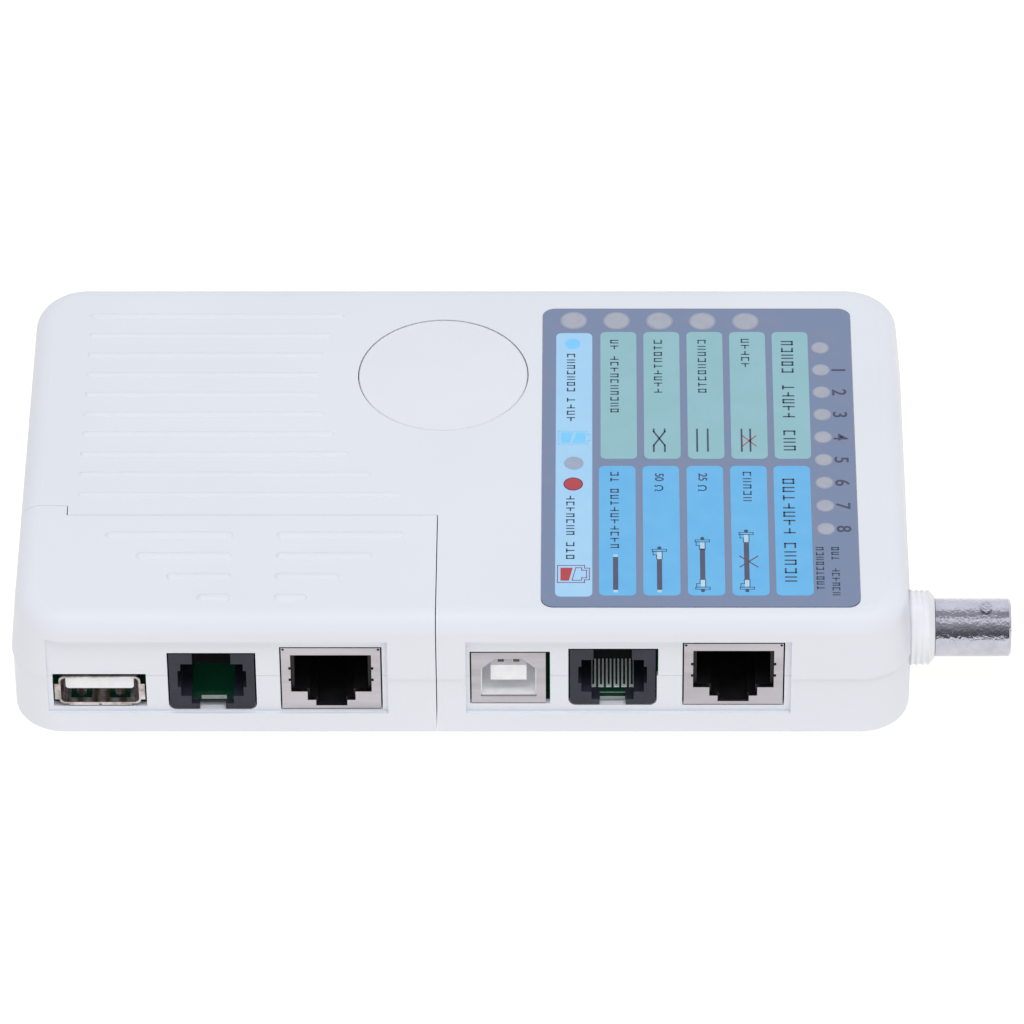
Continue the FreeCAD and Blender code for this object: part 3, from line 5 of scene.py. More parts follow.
import bmesh
import bpy
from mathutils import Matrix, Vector


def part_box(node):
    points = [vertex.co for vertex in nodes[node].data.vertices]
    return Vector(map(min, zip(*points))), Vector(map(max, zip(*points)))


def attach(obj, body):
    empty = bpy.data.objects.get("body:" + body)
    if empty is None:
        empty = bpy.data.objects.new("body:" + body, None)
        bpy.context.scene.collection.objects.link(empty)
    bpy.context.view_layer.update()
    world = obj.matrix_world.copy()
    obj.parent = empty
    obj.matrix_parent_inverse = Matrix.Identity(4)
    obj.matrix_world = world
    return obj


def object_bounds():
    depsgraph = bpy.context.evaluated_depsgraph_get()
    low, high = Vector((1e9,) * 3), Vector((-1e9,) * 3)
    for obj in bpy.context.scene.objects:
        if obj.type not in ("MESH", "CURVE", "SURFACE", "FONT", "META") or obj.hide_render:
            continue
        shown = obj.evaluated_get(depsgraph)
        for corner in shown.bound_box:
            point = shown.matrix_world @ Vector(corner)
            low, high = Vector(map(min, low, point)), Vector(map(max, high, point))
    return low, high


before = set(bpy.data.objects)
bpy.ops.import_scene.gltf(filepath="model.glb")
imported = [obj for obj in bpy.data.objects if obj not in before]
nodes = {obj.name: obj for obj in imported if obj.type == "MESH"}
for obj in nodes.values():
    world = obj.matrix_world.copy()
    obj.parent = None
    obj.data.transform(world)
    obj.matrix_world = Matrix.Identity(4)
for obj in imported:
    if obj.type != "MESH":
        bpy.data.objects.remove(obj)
cad_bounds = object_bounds()

MM = 0.001


# ---------------------------------------------------------------- colours and materials
def linear(red, green, blue):
    """An sRGB colour, 0 to 255, as a linear one."""
    values = []
    for channel in (red, green, blue):
        share = channel / 255
        values.append(share / 12.92 if share <= 0.04045 else ((share + 0.055) / 1.055) ** 2.4)
    return (*values, 1.0)


def new_node(tree, kind, **settings):
    """A shader node: each setting is one of its properties, or else the value of an input."""
    made = tree.nodes.new(kind)
    for key, value in settings.items():
        if hasattr(made, key):
            setattr(made, key, value)
        else:
            made.inputs[key.replace("_", " ")].default_value = value
    return made


def ranged(tree, source, from_low=0.0, from_high=1.0, to_low=0.0, to_high=1.0):
    """The value of source, moved from one range to another."""
    made = new_node(tree, "ShaderNodeMapRange", From_Min=from_low, From_Max=from_high,
                    To_Min=to_low, To_Max=to_high)
    tree.links.new(source, made.inputs["Value"])
    return made.outputs["Result"]


def maths(tree, operation, first, second=0.0):
    """The result of operation on first and second, each of them a socket or a number."""
    made = new_node(tree, "ShaderNodeMath", operation=operation)
    for socket, value in zip(made.inputs, (first, second)):
        if isinstance(value, (int, float)):
            socket.default_value = value
        else:
            tree.links.new(value, socket)
    return made.outputs[0]


def material(name, colour, second=None, patch=0.006, roughness=0.4, rough_range=0.08,
             metallic=0.0, grain=0.0004, grain_height=0.00001, grain_strength=0.25,
             stretch=(1, 1, 1), **shader):
    """A procedural finish: two tones in soft patches, uneven gloss and a fine grain in the surface."""
    made = bpy.data.materials.new(name)
    made.use_nodes = True
    tree = made.node_tree
    link = tree.links.new
    principled = tree.nodes["Principled BSDF"]
    principled.inputs["Metallic"].default_value = metallic
    for key, value in shader.items():
        principled.inputs[key.replace("_", " ")].default_value = value
    place = new_node(tree, "ShaderNodeTexCoord")
    scaled = new_node(tree, "ShaderNodeMapping")
    scaled.inputs["Scale"].default_value = stretch
    link(place.outputs["Object"], scaled.inputs["Vector"])

    patches = new_node(tree, "ShaderNodeTexNoise", Scale=1 / patch, Detail=3.0)
    link(scaled.outputs["Vector"], patches.inputs["Vector"])
    tones = new_node(tree, "ShaderNodeMix", data_type="RGBA")
    tones.inputs[6].default_value = colour
    tones.inputs[7].default_value = second or colour
    link(ranged(tree, patches.outputs["Fac"], from_low=0.35, from_high=0.65),
         tones.inputs["Factor"])
    link(tones.outputs[2], principled.inputs["Base Color"])

    grains = new_node(tree, "ShaderNodeTexNoise", Scale=1 / grain, Detail=2.0)
    link(scaled.outputs["Vector"], grains.inputs["Vector"])
    link(ranged(tree, patches.outputs["Fac"], to_low=roughness - rough_range,
                to_high=roughness + rough_range), principled.inputs["Roughness"])
    bump = new_node(tree, "ShaderNodeBump", Strength=grain_strength, Distance=grain_height)
    link(grains.outputs["Fac"], bump.inputs["Height"])
    link(bump.outputs["Normal"], principled.inputs["Normal"])
    return made


FINISHES = {
    "case_plastic": material("case_plastic", linear(224, 228, 237), linear(222, 226, 235),
                             patch=0.03, roughness=0.42, grain=0.00035, grain_height=0.000012),
    "button_plastic": material("button_plastic", linear(225, 228, 237), linear(223, 226, 235),
                               patch=0.02, roughness=0.38, grain=0.0003, grain_height=0.00001),
    "overlay_film": material("overlay_film", linear(112, 130, 163), linear(118, 131, 161),
                             patch=0.005, roughness=0.36, grain=0.00022,
                             grain_height=0.000008),
    "switch_plastic": material("switch_plastic", linear(40, 42, 46), linear(52, 54, 58)),
    # the board glows faintly: painted light, so that it shows green in the shade inside the sockets
    "board_green": material("board_green", linear(10, 62, 42), linear(14, 74, 50), patch=0.002,
                            roughness=0.3, grain=0.0006, Coat_Weight=0.4,
                            Emission_Color=linear(6, 62, 44), Emission_Strength=0.15),
    "lamp_lens": material("lamp_lens", linear(205, 200, 210), linear(215, 212, 220),
                          roughness=0.2, Transmission_Weight=0.5),
    "tinned_wire": material("tinned_wire", linear(226, 232, 232), linear(206, 214, 214),
                            patch=0.001, metallic=0.35, roughness=0.5, grain_strength=0.05),
    "chip_black": material("chip_black", linear(24, 25, 27), linear(34, 35, 37),
                           patch=0.002, roughness=0.5),
    "resistor_body": material("resistor_body", linear(30, 32, 38), linear(60, 62, 70),
                              patch=0.001),
    "socket_shield": material("socket_shield", linear(187, 184, 191), linear(171, 168, 175),
                              patch=0.0025, metallic=1.0, roughness=0.34, grain=0.00018,
                              grain_height=0.000006, stretch=(0.12, 1, 1)),
    "insert_black": material("insert_black", linear(17, 18, 21), linear(25, 26, 29),
                             patch=0.002, roughness=0.5, Specular_IOR_Level=0.3),
    "gold_contact": material("gold_contact", linear(226, 178, 84), linear(206, 152, 62),
                             patch=0.001, metallic=1.0, roughness=0.22),
    "insert_grey": material("insert_grey", linear(37, 41, 53), linear(45, 49, 61),
                            patch=0.003, roughness=0.5, Specular_IOR_Level=0.3),
    # the white insert glows faintly: painted light that brightens it in the shade of the socket mouth
    "insert_white": material("insert_white", linear(232, 233, 238), linear(222, 222, 226),
                             patch=0.002, roughness=0.4, Emission_Color=linear(235, 236, 240),
                             Emission_Strength=0.08),
    "bnc_plastic": material("bnc_plastic", linear(234, 236, 241), linear(228, 230, 236),
                            patch=0.003, roughness=0.36),
    "bnc_chrome": material("bnc_chrome", linear(190, 191, 202), linear(176, 178, 192),
                           patch=0.0025, metallic=1.0, roughness=0.06, rough_range=0.03,
                           grain=0.0005, grain_height=0.00012, grain_strength=0.8),
    "battery_case": material("battery_case", linear(52, 54, 62), linear(62, 64, 72),
                             patch=0.01, roughness=0.35),
    "snap_black": material("snap_black", linear(28, 28, 30), linear(40, 40, 43)),
    "lead_red": material("lead_red", linear(178, 30, 34), linear(160, 24, 28)),
    "lead_black": material("lead_black", linear(24, 24, 26), linear(34, 34, 37)),
    "screw_steel": material("screw_steel", linear(176, 178, 184), linear(150, 152, 158),
                            patch=0.001, metallic=1.0, roughness=0.3),
}

OWN_FINISHES = {
    # satin springs that glow faintly, painted light that keeps them bright deep in their shaded
    # socket, and dull ends of the square socket's
    "main_rj11_contacts": material("spring_wire_painted_light", linear(214, 226, 224), linear(196, 210, 208),
                                   patch=0.001, metallic=0.2, roughness=0.5, grain_strength=0.05,
                                   Emission_Color=linear(190, 206, 204), Emission_Strength=0.1),
    "usb_b_contacts": material("dull_contact", linear(150, 144, 126), linear(96, 92, 84),
                               patch=0.0006, metallic=0.4, roughness=0.5, grain_strength=0.05),
    "usb_a_shell": material("usb_a_bronze", linear(206, 203, 206), linear(150, 142, 138),
                            patch=0.0016, metallic=1.0, roughness=0.24, grain=0.0008,
                            grain_height=0.00001),
}

for made in nodes.values():
    for index, entry in enumerate(made.data.materials):
        finish = FINISHES[entry.name.split(".")[0]]
        made.material_slots[index].link = "OBJECT"
        made.material_slots[index].material = OWN_FINISHES.get(made.name, finish)


# ---------------------------------------------------------------- pieces
def skin(shell, rings):
    """Close a stack of rings of vertices: walls from each ring to the next, and two end caps."""
    for lower, upper in zip(rings, rings[1:]):
        for i in range(len(lower)):
            j = (i + 1) % len(lower)
            shell.faces.new((lower[i], lower[j], upper[j], upper[i]))
    shell.faces.new(rings[0][::-1])
    shell.faces.new(rings[-1])


def add_piece(name, shell, finish, body, smooth=False):
    """Make an object of shell, with finish as its material, which moves with body."""
    bmesh.ops.recalc_face_normals(shell, faces=shell.faces)
    mesh = bpy.data.meshes.new(name)
    shell.to_mesh(mesh)
    shell.free()
    if smooth:
        mesh.shade_smooth()
    mesh.materials.append(finish)
    made = bpy.data.objects.new(name, mesh)
    bpy.context.scene.collection.objects.link(made)
    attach(made, body)


def circle(x, y, radius, steps):
    """Points round a circle, as many as steps."""
    turns = [2 * math.pi * step / steps for step in range(steps)]
    return [(x + radius * math.cos(turn), y + radius * math.sin(turn)) for turn in turns]


# ---------------------------------------------------------------- small things in the sockets
def lathe(name, profile, place, steps, finish, body):
    """A turned piece that stands on place: profile gives height and radius from the bottom up."""
    shell = bmesh.new()
    rings = []
    for height, radius in profile:
        level = place[2] + height * MM
        rings.append([shell.verts.new((x, y, level))
                      for x, y in circle(place[0], place[1], radius * MM, steps)])
    skin(shell, rings)
    add_piece(name, shell, finish, body, smooth=True)


def plate(name, low, high, rim, finish, body):
    """A small moulded plate between two corners, in mm, with its front edges bevelled by rim."""
    shell = bmesh.new()
    rings = []
    for y, inset in ((low[1], rim), (low[1] + rim, 0.0), (high[1], 0.0)):
        corners = [(low[0] + inset, low[2] + inset), (high[0] - inset, low[2] + inset),
                   (high[0] - inset, high[2] - inset), (low[0] + inset, high[2] - inset)]
        rings.append([shell.verts.new((x * MM, y * MM, z * MM)) for x, z in corners])
    skin(shell, rings)
    add_piece(name, shell, finish, body)


# near black and nearly without shine: painted shade on the spring carrier in the socket's upper notch
carrier_black = material("carrier_black", linear(5, 6, 8), linear(9, 10, 12), patch=0.001,
                         roughness=0.6, Specular_IOR_Level=0.02)
# a pale sheet that glows faintly: painted highlight on the board's cut edge
board_edge = material("board_edge", linear(224, 234, 230), linear(206, 218, 214), patch=0.001,
                      roughness=0.6, Emission_Color=linear(210, 224, 220), Emission_Strength=0.12)
CARRIER_HALF_WIDTH = 3.08
CARRIER_HEIGHT = 2.18
BOARD_EDGE_HALF_WIDTH = 2.05
BOARD_EDGE_HEIGHT = 0.8
for unit in ("main", "remote"):
    low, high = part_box(f"{unit}_rj11_housing")
    middle = (low.x + high.x) / 2 / MM
    board_front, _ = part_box(f"{unit}_circuit_board")
    # the bare cut edge of the board, seen through the socket's lower notch: a thin pale sheet that
    # glows, partly the edge's own pale colour and partly a painted highlight
    plate(f"{unit}_board_edge",
          (middle - BOARD_EDGE_HALF_WIDTH, board_front.y / MM - 0.06, board_front.z / MM),
          (middle + BOARD_EDGE_HALF_WIDTH, board_front.y / MM - 0.01,
           board_front.z / MM + BOARD_EDGE_HEIGHT),
          0.02, board_edge, f"{unit}_unit")
    # the carrier that holds the springs, in the socket's upper notch: black plastic, made darker than
    # the other black parts and nearly without shine, as painted shade deep in the notch
    plate(f"{unit}_rj11_carrier",
          (middle - CARRIER_HALF_WIDTH, low.y / MM + 0.22, high.z / MM - CARRIER_HEIGHT),
          (middle + CARRIER_HALF_WIDTH, low.y / MM + 0.49, high.z / MM - 0.02),
          0.08, carrier_black, f"{unit}_unit")

SOLDER_INSET = 1.1 * MM
SOLDER_BEHIND_EDGE = 1.2 * MM
SOLDER_PROFILE = [(-0.02, 0.3), (0.12, 0.28), (0.26, 0.2), (0.34, 0.07)]
springs_low, springs_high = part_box("main_rj11_contacts")
board_low, board_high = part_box("main_circuit_board")
solder = material("solder", linear(206, 212, 212), linear(170, 178, 178), patch=0.0005,
                  metallic=0.4, roughness=0.35, grain_strength=0.05)
for side, x in (("left", springs_low.x + SOLDER_INSET), ("right", springs_high.x - SOLDER_INSET)):
    lathe(f"solder_drop_{side}", SOLDER_PROFILE, (x, board_low.y + SOLDER_BEHIND_EDGE, board_high.z),
          20, solder, "main_unit")
plate("spring_comb", (springs_low.x / MM, springs_low.y / MM - 0.14, springs_low.z / MM - 0.02),
      (springs_high.x / MM, springs_low.y / MM - 0.02, springs_low.z / MM + 0.1), 0.03, solder,
      "main_unit")


# ---------------------------------------------------------------- printed label
class Print:
    """One colour of print: flat shapes with a small real thickness, on the label's top face.

    Places and sizes are in mm, in the CAD frame.
    """

    def __init__(self, level):
        self.shell = bmesh.new()
        self.level = level

    def polygon(self, points):
        skin(self.shell, [[self.shell.verts.new((x * MM, y * MM, height * MM)) for x, y in points]
                          for height in self.level])

    def box(self, left, bottom, right, top, radius=0.0):
        if radius <= 0:
            self.polygon([(left, bottom), (right, bottom), (right, top), (left, top)])
            return
        points = []
        corners = [(right, top, 0), (left, top, 90), (left, bottom, 180), (right, bottom, 270)]
        for x, y, start in corners:
            centre_x = x - math.copysign(radius, x - (left + right) / 2)
            centre_y = y - math.copysign(radius, y - (bottom + top) / 2)
            for step in range(CORNER_STEPS + 1):
                angle = math.radians(start + 90 * step / CORNER_STEPS)
                points.append((centre_x + radius * math.cos(angle),
                               centre_y + radius * math.sin(angle)))
        self.polygon(points)

    def disc(self, x, y, radius):
        self.polygon(circle(x, y, radius, ROUND_STEPS))

    def ring(self, x, y, radius, width):
        points = circle(x, y, radius, ROUND_STEPS)
        self.line([*points, points[0]], width)

    def line(self, points, width):
        """A stroke of even width along points: one quad for each run, with square ends."""
        for (x0, y0), (x1, y1) in zip(points, points[1:]):
            length = math.hypot(x1 - x0, y1 - y0)
            along_x, along_y = (x1 - x0) / length * width / 2, (y1 - y0) / length * width / 2
            x0, y0, x1, y1 = x0 - along_x, y0 - along_y, x1 + along_x, y1 + along_y
            self.polygon([(x0 - along_y, y0 + along_x), (x0 + along_y, y0 - along_x),
                          (x1 + along_y, y1 - along_x), (x1 - along_y, y1 + along_x)])

    def finish(self, name, finish):
        add_piece(name, self.shell, finish, "main_unit")


CORNER_STEPS = 8
ROUND_STEPS = 40
label_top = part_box("label_overlay")[1].z / MM
PANEL_LEVEL = (label_top - 0.01, label_top + 0.02)
MARK_LEVEL = (label_top - 0.01, label_top + 0.035)
TOP_MARK_LEVEL = (label_top - 0.01, label_top + 0.05)


def print_finish(name, colour, second, patch=0.004, roughness=0.38):
    return material(name, colour, second, patch=patch, roughness=roughness, rough_range=0.04,
                    grain=0.00022, grain_height=0.000006)


teal_columns = [14.48, 21.64, 28.82, 35.94, 43.04]
blue_columns = [14.2, 21.34, 28.53, 35.67, 42.76]
panel_width = 5.98
teal_rows = (-2.86, 29.22)
blue_rows = (-36.16, -4.61)
corner = 0.95

teal = Print(PANEL_LEVEL)
blue = Print(PANEL_LEVEL)
for left in teal_columns:
    teal.box(left, teal_rows[0], left + panel_width, teal_rows[1], corner)
for left in blue_columns:
    blue.box(left, blue_rows[0], left + panel_width, blue_rows[1], corner)
teal.finish("label_print_teal", print_finish("print_teal", linear(137, 184, 193),
                                             linear(142, 186, 198)))
blue.finish("label_print_blue", print_finish("print_blue", linear(97, 176, 229),
                                             linear(104, 180, 231)))
pale = Print(PANEL_LEVEL)
pale.box(7.12, -36.41, 13.12, 28.93, corner)
pale.finish("label_print_pale", print_finish("print_pale", linear(159, 205, 240),
                                             linear(164, 208, 241)))

# lamp windows: clear, faintly frosted spots in the film
mode_columns = (10.02, 17.18, 24.34, 31.53, 38.72)
pin_column = 51.06
pin_rows = [25.13 - 5.65 * place for place in range(9)]
windows = Print(MARK_LEVEL)
haloes = Print(PANEL_LEVEL)
for place, x in enumerate(mode_columns):
    y = 32.16 - 0.06 * place
    windows.disc(x, y, 1.95)
    haloes.disc(x, y, 2.25)
for y in pin_rows:
    windows.disc(pin_column, y, 1.28)
    haloes.disc(pin_column, y, 1.5)
windows.finish("label_lamp_windows", print_finish(
    "lamp_window", linear(160, 165, 179), linear(166, 170, 183), patch=0.0016, roughness=0.28))
low_window = Print(MARK_LEVEL)
low_window.disc(10.1, -3.95, 1.6)
low_window.finish("label_battery_window", print_finish(
    "battery_window", linear(146, 163, 186), linear(152, 168, 190), patch=0.0016, roughness=0.28))
haloes.finish("label_window_haloes", print_finish(
    "window_halo", linear(140, 150, 174), linear(146, 154, 176), patch=0.0016, roughness=0.3))

# marks that stand for the words: plain strokes in letter-sized cells, which spell nothing
MARKS = [
    [((0, 0), (0, 1), (1, 1)), ((0, 0), (1, 0))],
    [((0, 0), (0, 1)), ((1, 0), (1, 1))],
    [((0, 0), (1, 0), (1, 1), (0, 1), (0, 0))],
    [((0, 1), (0, 0), (1, 0), (1, 1))],
    [((0, 0), (0, 1)), ((0, 0.5), (1, 0.5))],
    [((0, 0), (0, 1), (1, 1), (1, 0))],
    [((0, 1), (1, 1), (1, 0), (0, 0))],
    [((0.5, 0), (0.5, 1)), ((0, 0), (1, 0))],
    [((1, 0), (1, 1)), ((0, 0.5), (1, 0.5))],
]
# each run of marks: x of its middle, y of its start, height across the label, advance down it,
# how many, and the weight of the strokes
MARK_RUNS = [
    (9.6, 23.59, 1.37, 1.44, 7, 0.24), (9.6, 12.39, 1.37, 1.62, 4, 0.24),
    (9.55, -12.0, 1.37, 1.44, 7, 0.24), (9.55, -23.3, 1.37, 1.55, 3, 0.24),
    (16.8, 27.18, 1.38, 1.46, 2, 0.24), (16.8, 23.0, 1.38, 1.48, 10, 0.24),
    (24.04, 27.18, 1.38, 1.56, 9, 0.24), (31.34, 27.18, 1.38, 1.56, 9, 0.24),
    (38.55, 27.43, 1.38, 1.56, 5, 0.24), (45.55, 26.9, 2.0, 1.75, 5, 0.3),
    (45.55, 15.6, 2.0, 1.75, 5, 0.3), (45.55, 4.2, 2.0, 1.9, 3, 0.3),
    (16.75, -6.1, 1.38, 1.48, 2, 0.24), (16.75, -10.3, 1.38, 1.5, 10, 0.24),
    (38.42, -6.1, 1.38, 1.56, 5, 0.24), (45.15, -7.8, 1.95, 2.02, 7, 0.3),
    (45.15, -23.5, 1.95, 2.02, 5, 0.3), (52.4, -24.5, 1.25, 1.15, 3, 0.2),
    (52.4, -29.6, 1.25, 1.15, 6, 0.2), (49.9, -24.5, 1.25, 1.18, 9, 0.2),
]
MARK_SHARE = 0.62


def mark(layer, shape, x, y, tall, wide, weight):
    """One mark turned to read down the label: it starts at y and is centred on x."""
    for stroke in shape:
        layer.line([(x - tall / 2 + tall * up, y - wide * across) for across, up in stroke], weight)


ink = Print(MARK_LEVEL)
turn = 0
for x, start, height, advance, count, weight in MARK_RUNS:
    for place in range(count):
        mark(ink, MARKS[turn % len(MARKS)], x, start - advance * place - weight / 2,
             height - weight, advance * MARK_SHARE - weight, weight)
        turn += 4 if place % 2 else 1

# the wiring diagrams
ink.line([(23.23, 4.5), (23.23, 3.9), (25.04, 0.5), (25.04, -1.0)], 0.3)
ink.line([(25.04, 4.5), (25.04, 3.9), (23.23, 0.5), (23.23, -1.0)], 0.3)
for x in (30.35, 32.11, 37.67, 39.1):
    ink.line([(x, 4.5), (x, -0.95)], 0.3)


def cross_out(layer, left, bottom, right, top):
    """Two thin strokes from corner to corner."""
    layer.line([(left, bottom), (right, top)], 0.2)
    layer.line([(left, top), (right, bottom)], 0.2)


def ohm_sign(layer, x, y, radius=0.62, width=0.17):
    """The unit sign for ohms, turned to read down the label like the numbers before it."""
    gap = math.radians(48)
    turns = [gap + (2 * math.pi - 2 * gap) * step / 16 for step in range(17)]
    arc = [(x - radius * math.cos(turn), y + radius * math.sin(turn)) for turn in turns]
    foot = x - radius
    layer.line([(foot, y + radius * 1.15), (foot, arc[0][1]), *arc, (foot, arc[-1][1]),
                (foot, y - radius * 1.15)], width)


ohm_sign(ink, 24.0, -10.1)
ohm_sign(ink, 31.1, -10.1)


def cable_end(layer, pale_layer, x, y, way):
    """The plug at one end of a printed cable: nub, flange, side arm and a pale sleeve."""
    layer.disc(x, y, 0.34)
    across = [(x - 1.15, y - 0.35 * way), (x + 1.15, y - 0.35 * way),
              (x + 1.15, y - 0.85 * way), (x - 1.15, y - 0.85 * way), (x - 1.15, y - 0.35 * way)]
    layer.line(across, 0.13)
    arm = [(x - 0.45, y - 0.85 * way), (x - 1.0, y - 0.85 * way), (x - 1.0, y - 1.7 * way),
           (x - 0.45, y - 1.7 * way), (x - 0.45, y - 2.7 * way)]
    layer.line(arm, 0.13)
    layer.line([(x + 0.45, y - 0.85 * way), (x + 0.45, y - 2.7 * way)], 0.13)
    low, high = sorted((y - 1.0 * way, y - 2.7 * way))
    pale_layer.box(x - 0.36, low, x + 0.36, high)


sleeves = Print(MARK_LEVEL)
cable = Print(MARK_LEVEL)
for x, top, bottom in ((16.88, -26.9, -34.8), (23.96, -27.4, -34.8),
                       (30.93, -24.9, -32.4), (38.06, -23.3, -32.4)):
    cable.box(x - 0.42, bottom, x + 0.42, top)
for x, y in ((16.88, -26.6), (16.88, -35.1), (23.96, -35.1)):
    sleeves.box(x - 0.36, y - 0.32, x + 0.36, y + 0.32)
cable_end(ink, sleeves, 23.96, -24.7, 1)
cable_end(ink, sleeves, 30.93, -22.4, 1)
cable_end(ink, sleeves, 30.93, -35.0, -1)
cable_end(ink, sleeves, 38.06, -20.6, 1)
cable_end(ink, sleeves, 38.06, -35.0, -1)
cross = Print(TOP_MARK_LEVEL)
cross_out(cross, 36.97, -29.3, 39.85, -26.7)
cable.finish("label_print_cable", print_finish("print_cable", linear(66, 72, 98),
                                               linear(74, 78, 104)))
cross.finish("label_print_cross", print_finish("print_cross", linear(84, 70, 84),
                                               linear(96, 72, 86)))
sleeves.finish("label_print_sleeves", print_finish("print_sleeves", linear(168, 204, 226),
                                                   linear(182, 212, 230)))
ink.finish("label_print_ink", print_finish("print_ink", linear(44, 64, 88), linear(52, 70, 94)))

# battery pictograms and coloured dots
sky = Print(MARK_LEVEL)
sky.disc(9.85, 26.15, 1.3)
sky.polygon([(8.0, 1.1), (9.4, 1.1), (10.05, 3.7), (8.0, 3.7)])
sky.polygon([(9.85, 1.1), (12.0, 1.1), (12.0, 3.7), (10.45, 3.7)])
sky.line([(7.6, 0.8), (12.3, 0.8), (12.3, 1.6), (12.75, 1.6), (12.75, 3.2), (12.3, 3.2),
          (12.3, 4.0), (7.6, 4.0), (7.6, 0.8)], 0.1)
sky.finish("label_print_sky", print_finish("print_sky", linear(118, 200, 250),
                                           linear(126, 204, 250)))
red = Print(MARK_LEVEL)
red.disc(10.0, -9.1, 1.45)
red.polygon([(7.98, -32.6), (9.34, -32.6), (9.96, -29.5), (7.98, -29.5)])
cross_out(red, 37.85, 0.35, 40.0, 2.85)
red.finish("label_print_red", print_finish("print_red", linear(170, 52, 62),
                                           linear(176, 60, 69)))
plum = Print(TOP_MARK_LEVEL)
plum.ring(10.0, -9.1, 1.52, 0.14)
plum.line([(7.5, -33.05), (11.85, -33.05), (11.85, -32.4), (12.65, -32.4), (12.65, -29.6),
           (11.85, -29.6), (11.85, -28.95), (7.5, -28.95), (7.5, -33.05)], 0.13)
plum.line([(9.85, -32.5), (11.4, -32.5), (11.4, -31.9), (12.2, -31.9), (12.2, -30.1),
           (11.4, -30.1), (11.4, -29.5), (10.45, -29.5), (9.85, -32.5)], 0.13)
plum.finish("label_print_plum", print_finish("print_plum", linear(150, 60, 110),
                                             linear(120, 60, 130)))


def digits(name, entries, level, finish):
    """Numbers, each turned to read down the label, made into a mesh with the print's thickness."""
    shell = bmesh.new()
    for text, x, y, size in entries:
        curve = bpy.data.curves.new("digit", "FONT")
        curve.body = text
        curve.size = size * MM
        curve.align_x = "CENTER"
        curve.align_y = "CENTER"
        curve.offset = 0.035 * MM
        curve.extrude = (level[1] - level[0]) / 2 * MM
        holder = bpy.data.objects.new("digit", curve)
        mesh = bpy.data.meshes.new_from_object(holder)
        for vertex in mesh.vertices:
            across, up, lift = vertex.co
            vertex.co = (x * MM + up, y * MM - across, (level[0] + level[1]) / 2 * MM + lift)
        shell.from_mesh(mesh)
        bpy.data.objects.remove(holder)
        bpy.data.curves.remove(curve)
        bpy.data.meshes.remove(mesh)
    bmesh.ops.remove_doubles(shell, verts=shell.verts, dist=1e-7)
    add_piece(name, shell, finish, "main_unit")


pin_entries = [(str(place), 53.85, pin_rows[place], 3.3) for place in range(1, 9)]
digits("label_pin_numbers", pin_entries, MARK_LEVEL,
       print_finish("print_number", linear(58, 58, 82), linear(66, 64, 90)))
digits("label_ohm_numbers", [("50", 24.0, -7.4, 2.0), ("25", 31.1, -7.4, 2.0)], MARK_LEVEL,
       print_finish("print_ohm", linear(40, 66, 96), linear(48, 72, 102)))


# ---------------------------------------------------------------- floor, light and camera
FLOOR_DROP = 0.02 * MM
# off centre, so that the seam between its two triangles doesn't run under the case
FLOOR_CORNERS = ((-4.0, -2.2), (3.0, -2.2), (3.0, 3.8), (-4.0, 3.8))
# what shiny metal mirrors of the room: brightness by height in degrees, from the horizon in
# front, over the top, to the horizon behind
MIRRORED = [(0, 0.1), (24, 0.18), (45, 0.4), (62, 0.6), (65, 1.2), (77, 1.2), (80, 0.5),
            (103, 0.42), (112, 0.8), (118, 1.15), (180, 1.1)]
# the room's soft light weakens towards both ends of the object, and from the front to behind it
SOFT_MIDDLE, SOFT_ENDS = 1.0, 0.6
SOFT_FRONT, SOFT_BEHIND = 0.7, 0.45
CAMERA_PLACE = (0.0128, -0.9657, 0.8713)
CAMERA_TILT = 48.3
CAMERA_LENS = 274.9
CAMERA_SHIFT = -0.0765


def floor():
    """A pale glowing sheet, a hair below the case so that their faces don't coincide."""
    mesh = bpy.data.meshes.new("floor")
    level = cad_bounds[0][2] - FLOOR_DROP
    mesh.from_pydata([(x, y, level) for x, y in FLOOR_CORNERS], [], [(0, 1, 2, 3)])
    made = bpy.data.objects.new("floor", mesh)
    bpy.context.scene.collection.objects.link(made)
    finish = material("floor_white", linear(164, 164, 165), linear(161, 161, 162), patch=0.2,
                      roughness=0.6, grain=0.002, grain_height=0.00001)
    principled = finish.node_tree.nodes["Principled BSDF"]
    principled.inputs["Emission Color"].default_value = (1, 0.965, 0.91, 1)
    principled.inputs["Emission Strength"].default_value = 0.83
    # seen from below the floor is clear, so that the underside can be looked at
    tree = finish.node_tree
    side = new_node(tree, "ShaderNodeNewGeometry")
    clear = new_node(tree, "ShaderNodeBsdfTransparent")
    mix = new_node(tree, "ShaderNodeMixShader")
    tree.links.new(side.outputs["Backfacing"], mix.inputs["Fac"])
    tree.links.new(principled.outputs["BSDF"], mix.inputs[1])
    tree.links.new(clear.outputs["BSDF"], mix.inputs[2])
    tree.links.new(mix.outputs["Shader"], tree.nodes["Material Output"].inputs["Surface"])
    mesh.materials.append(finish)


def softbox(name, place, aim, width, height, power, colour=(1, 1, 1)):
    """A soft rectangular light that no shiny surface mirrors."""
    light = bpy.data.lights.new(name, "AREA")
    light.shape = "RECTANGLE"
    light.size = width
    light.size_y = height
    light.energy = power
    light.color = colour
    made = bpy.data.objects.new(name, light)
    bpy.context.scene.collection.objects.link(made)
    made.location = place
    made.rotation_euler = (Vector(aim) - Vector(place)).to_track_quat("-Z", "Y").to_euler()
    made.visible_glossy = False


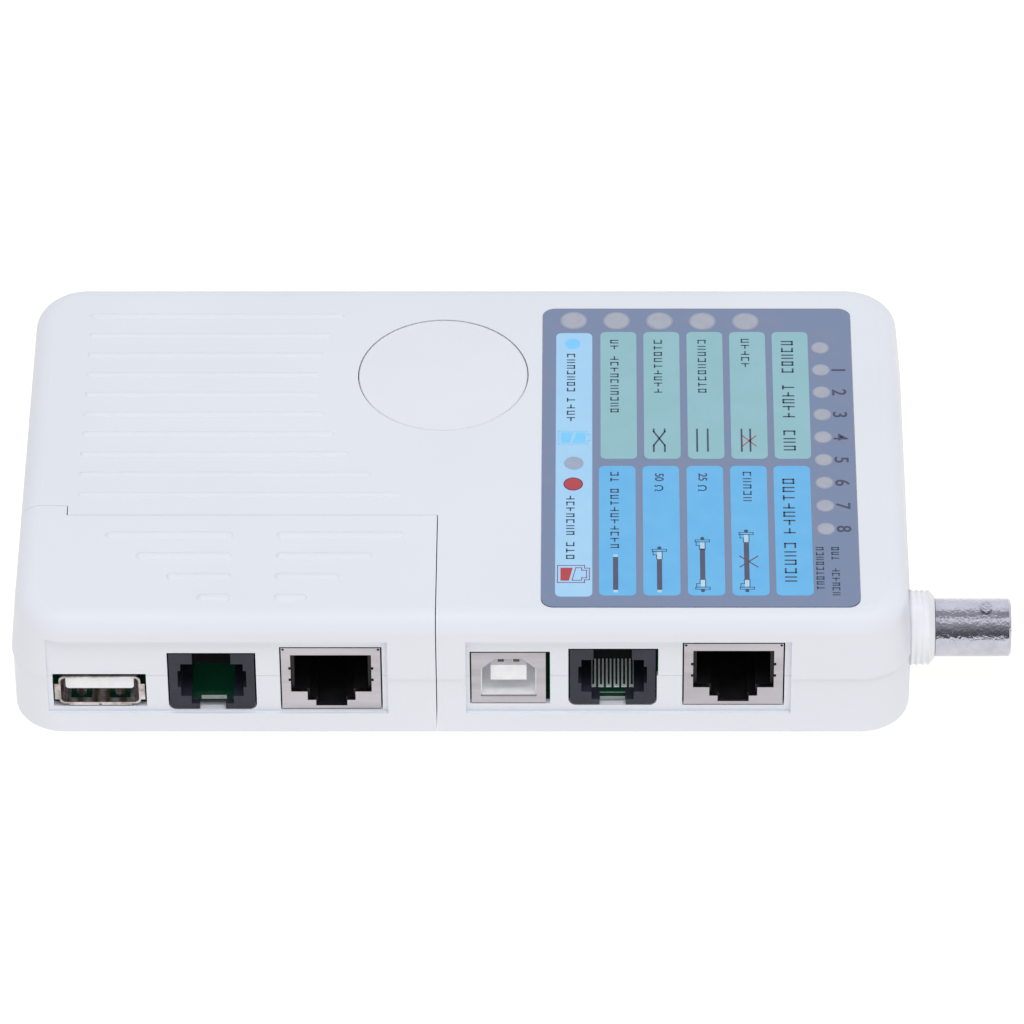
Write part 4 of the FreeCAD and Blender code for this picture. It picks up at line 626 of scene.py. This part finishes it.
def room():
    """The room round the object: its soft light, and the bands of it that shiny metal mirrors."""
    world = bpy.data.worlds.new("studio")
    bpy.context.scene.world = world
    world.use_nodes = True
    tree = world.node_tree
    link = tree.links.new
    direction = new_node(tree, "ShaderNodeTexCoord")
    axes = new_node(tree, "ShaderNodeSeparateXYZ")
    link(direction.outputs["Generated"], axes.inputs[0])
    sideways, away, up = axes.outputs

    height = maths(tree, "ARCTAN2", up, maths(tree, "MULTIPLY", away, -1))
    bands = new_node(tree, "ShaderNodeValToRGB")
    while len(bands.color_ramp.elements) < len(MIRRORED):
        bands.color_ramp.elements.new(1.0)
    for stop, (degrees, level) in zip(bands.color_ramp.elements, MIRRORED):
        stop.position = degrees / 180
        stop.color = (level, level, level * 1.02, 1)
    link(maths(tree, "DIVIDE", height, math.pi), bands.inputs["Fac"])

    ends = ranged(tree, maths(tree, "ABSOLUTE", sideways), to_low=SOFT_MIDDLE, to_high=SOFT_ENDS)
    depth = ranged(tree, away, from_low=-0.4, to_low=SOFT_FRONT, to_high=SOFT_BEHIND)
    ray = new_node(tree, "ShaderNodeLightPath")
    seen = new_node(tree, "ShaderNodeMix", data_type="RGBA")
    link(maths(tree, "MULTIPLY", ends, depth), seen.inputs[6])
    link(bands.outputs["Color"], seen.inputs[7])
    link(ray.outputs["Is Glossy Ray"], seen.inputs["Factor"])
    link(seen.outputs[2], tree.nodes["Background"].inputs["Color"])


def camera():
    made = bpy.data.objects.new("camera", bpy.data.cameras.new("camera"))
    bpy.context.scene.collection.objects.link(made)
    made.location = CAMERA_PLACE
    made.rotation_euler = (math.radians(CAMERA_TILT), 0, 0)
    made.data.sensor_width = 36
    made.data.lens = CAMERA_LENS
    made.data.shift_x = CAMERA_SHIFT
    made.data.clip_start = 0.05
    bpy.context.scene.camera = made


floor()
softbox("key", (0.1, -0.3, 1.2), (0, 0, 0), 0.8, 0.6, 8.5)
softbox("front", (0.25, -1.3, 0.5), (0, 0, 0.01), 1.4, 0.6, 0.15, (1, 0.82, 0.5))
room()
camera()
bpy.context.scene.view_settings.view_transform = "Standard"
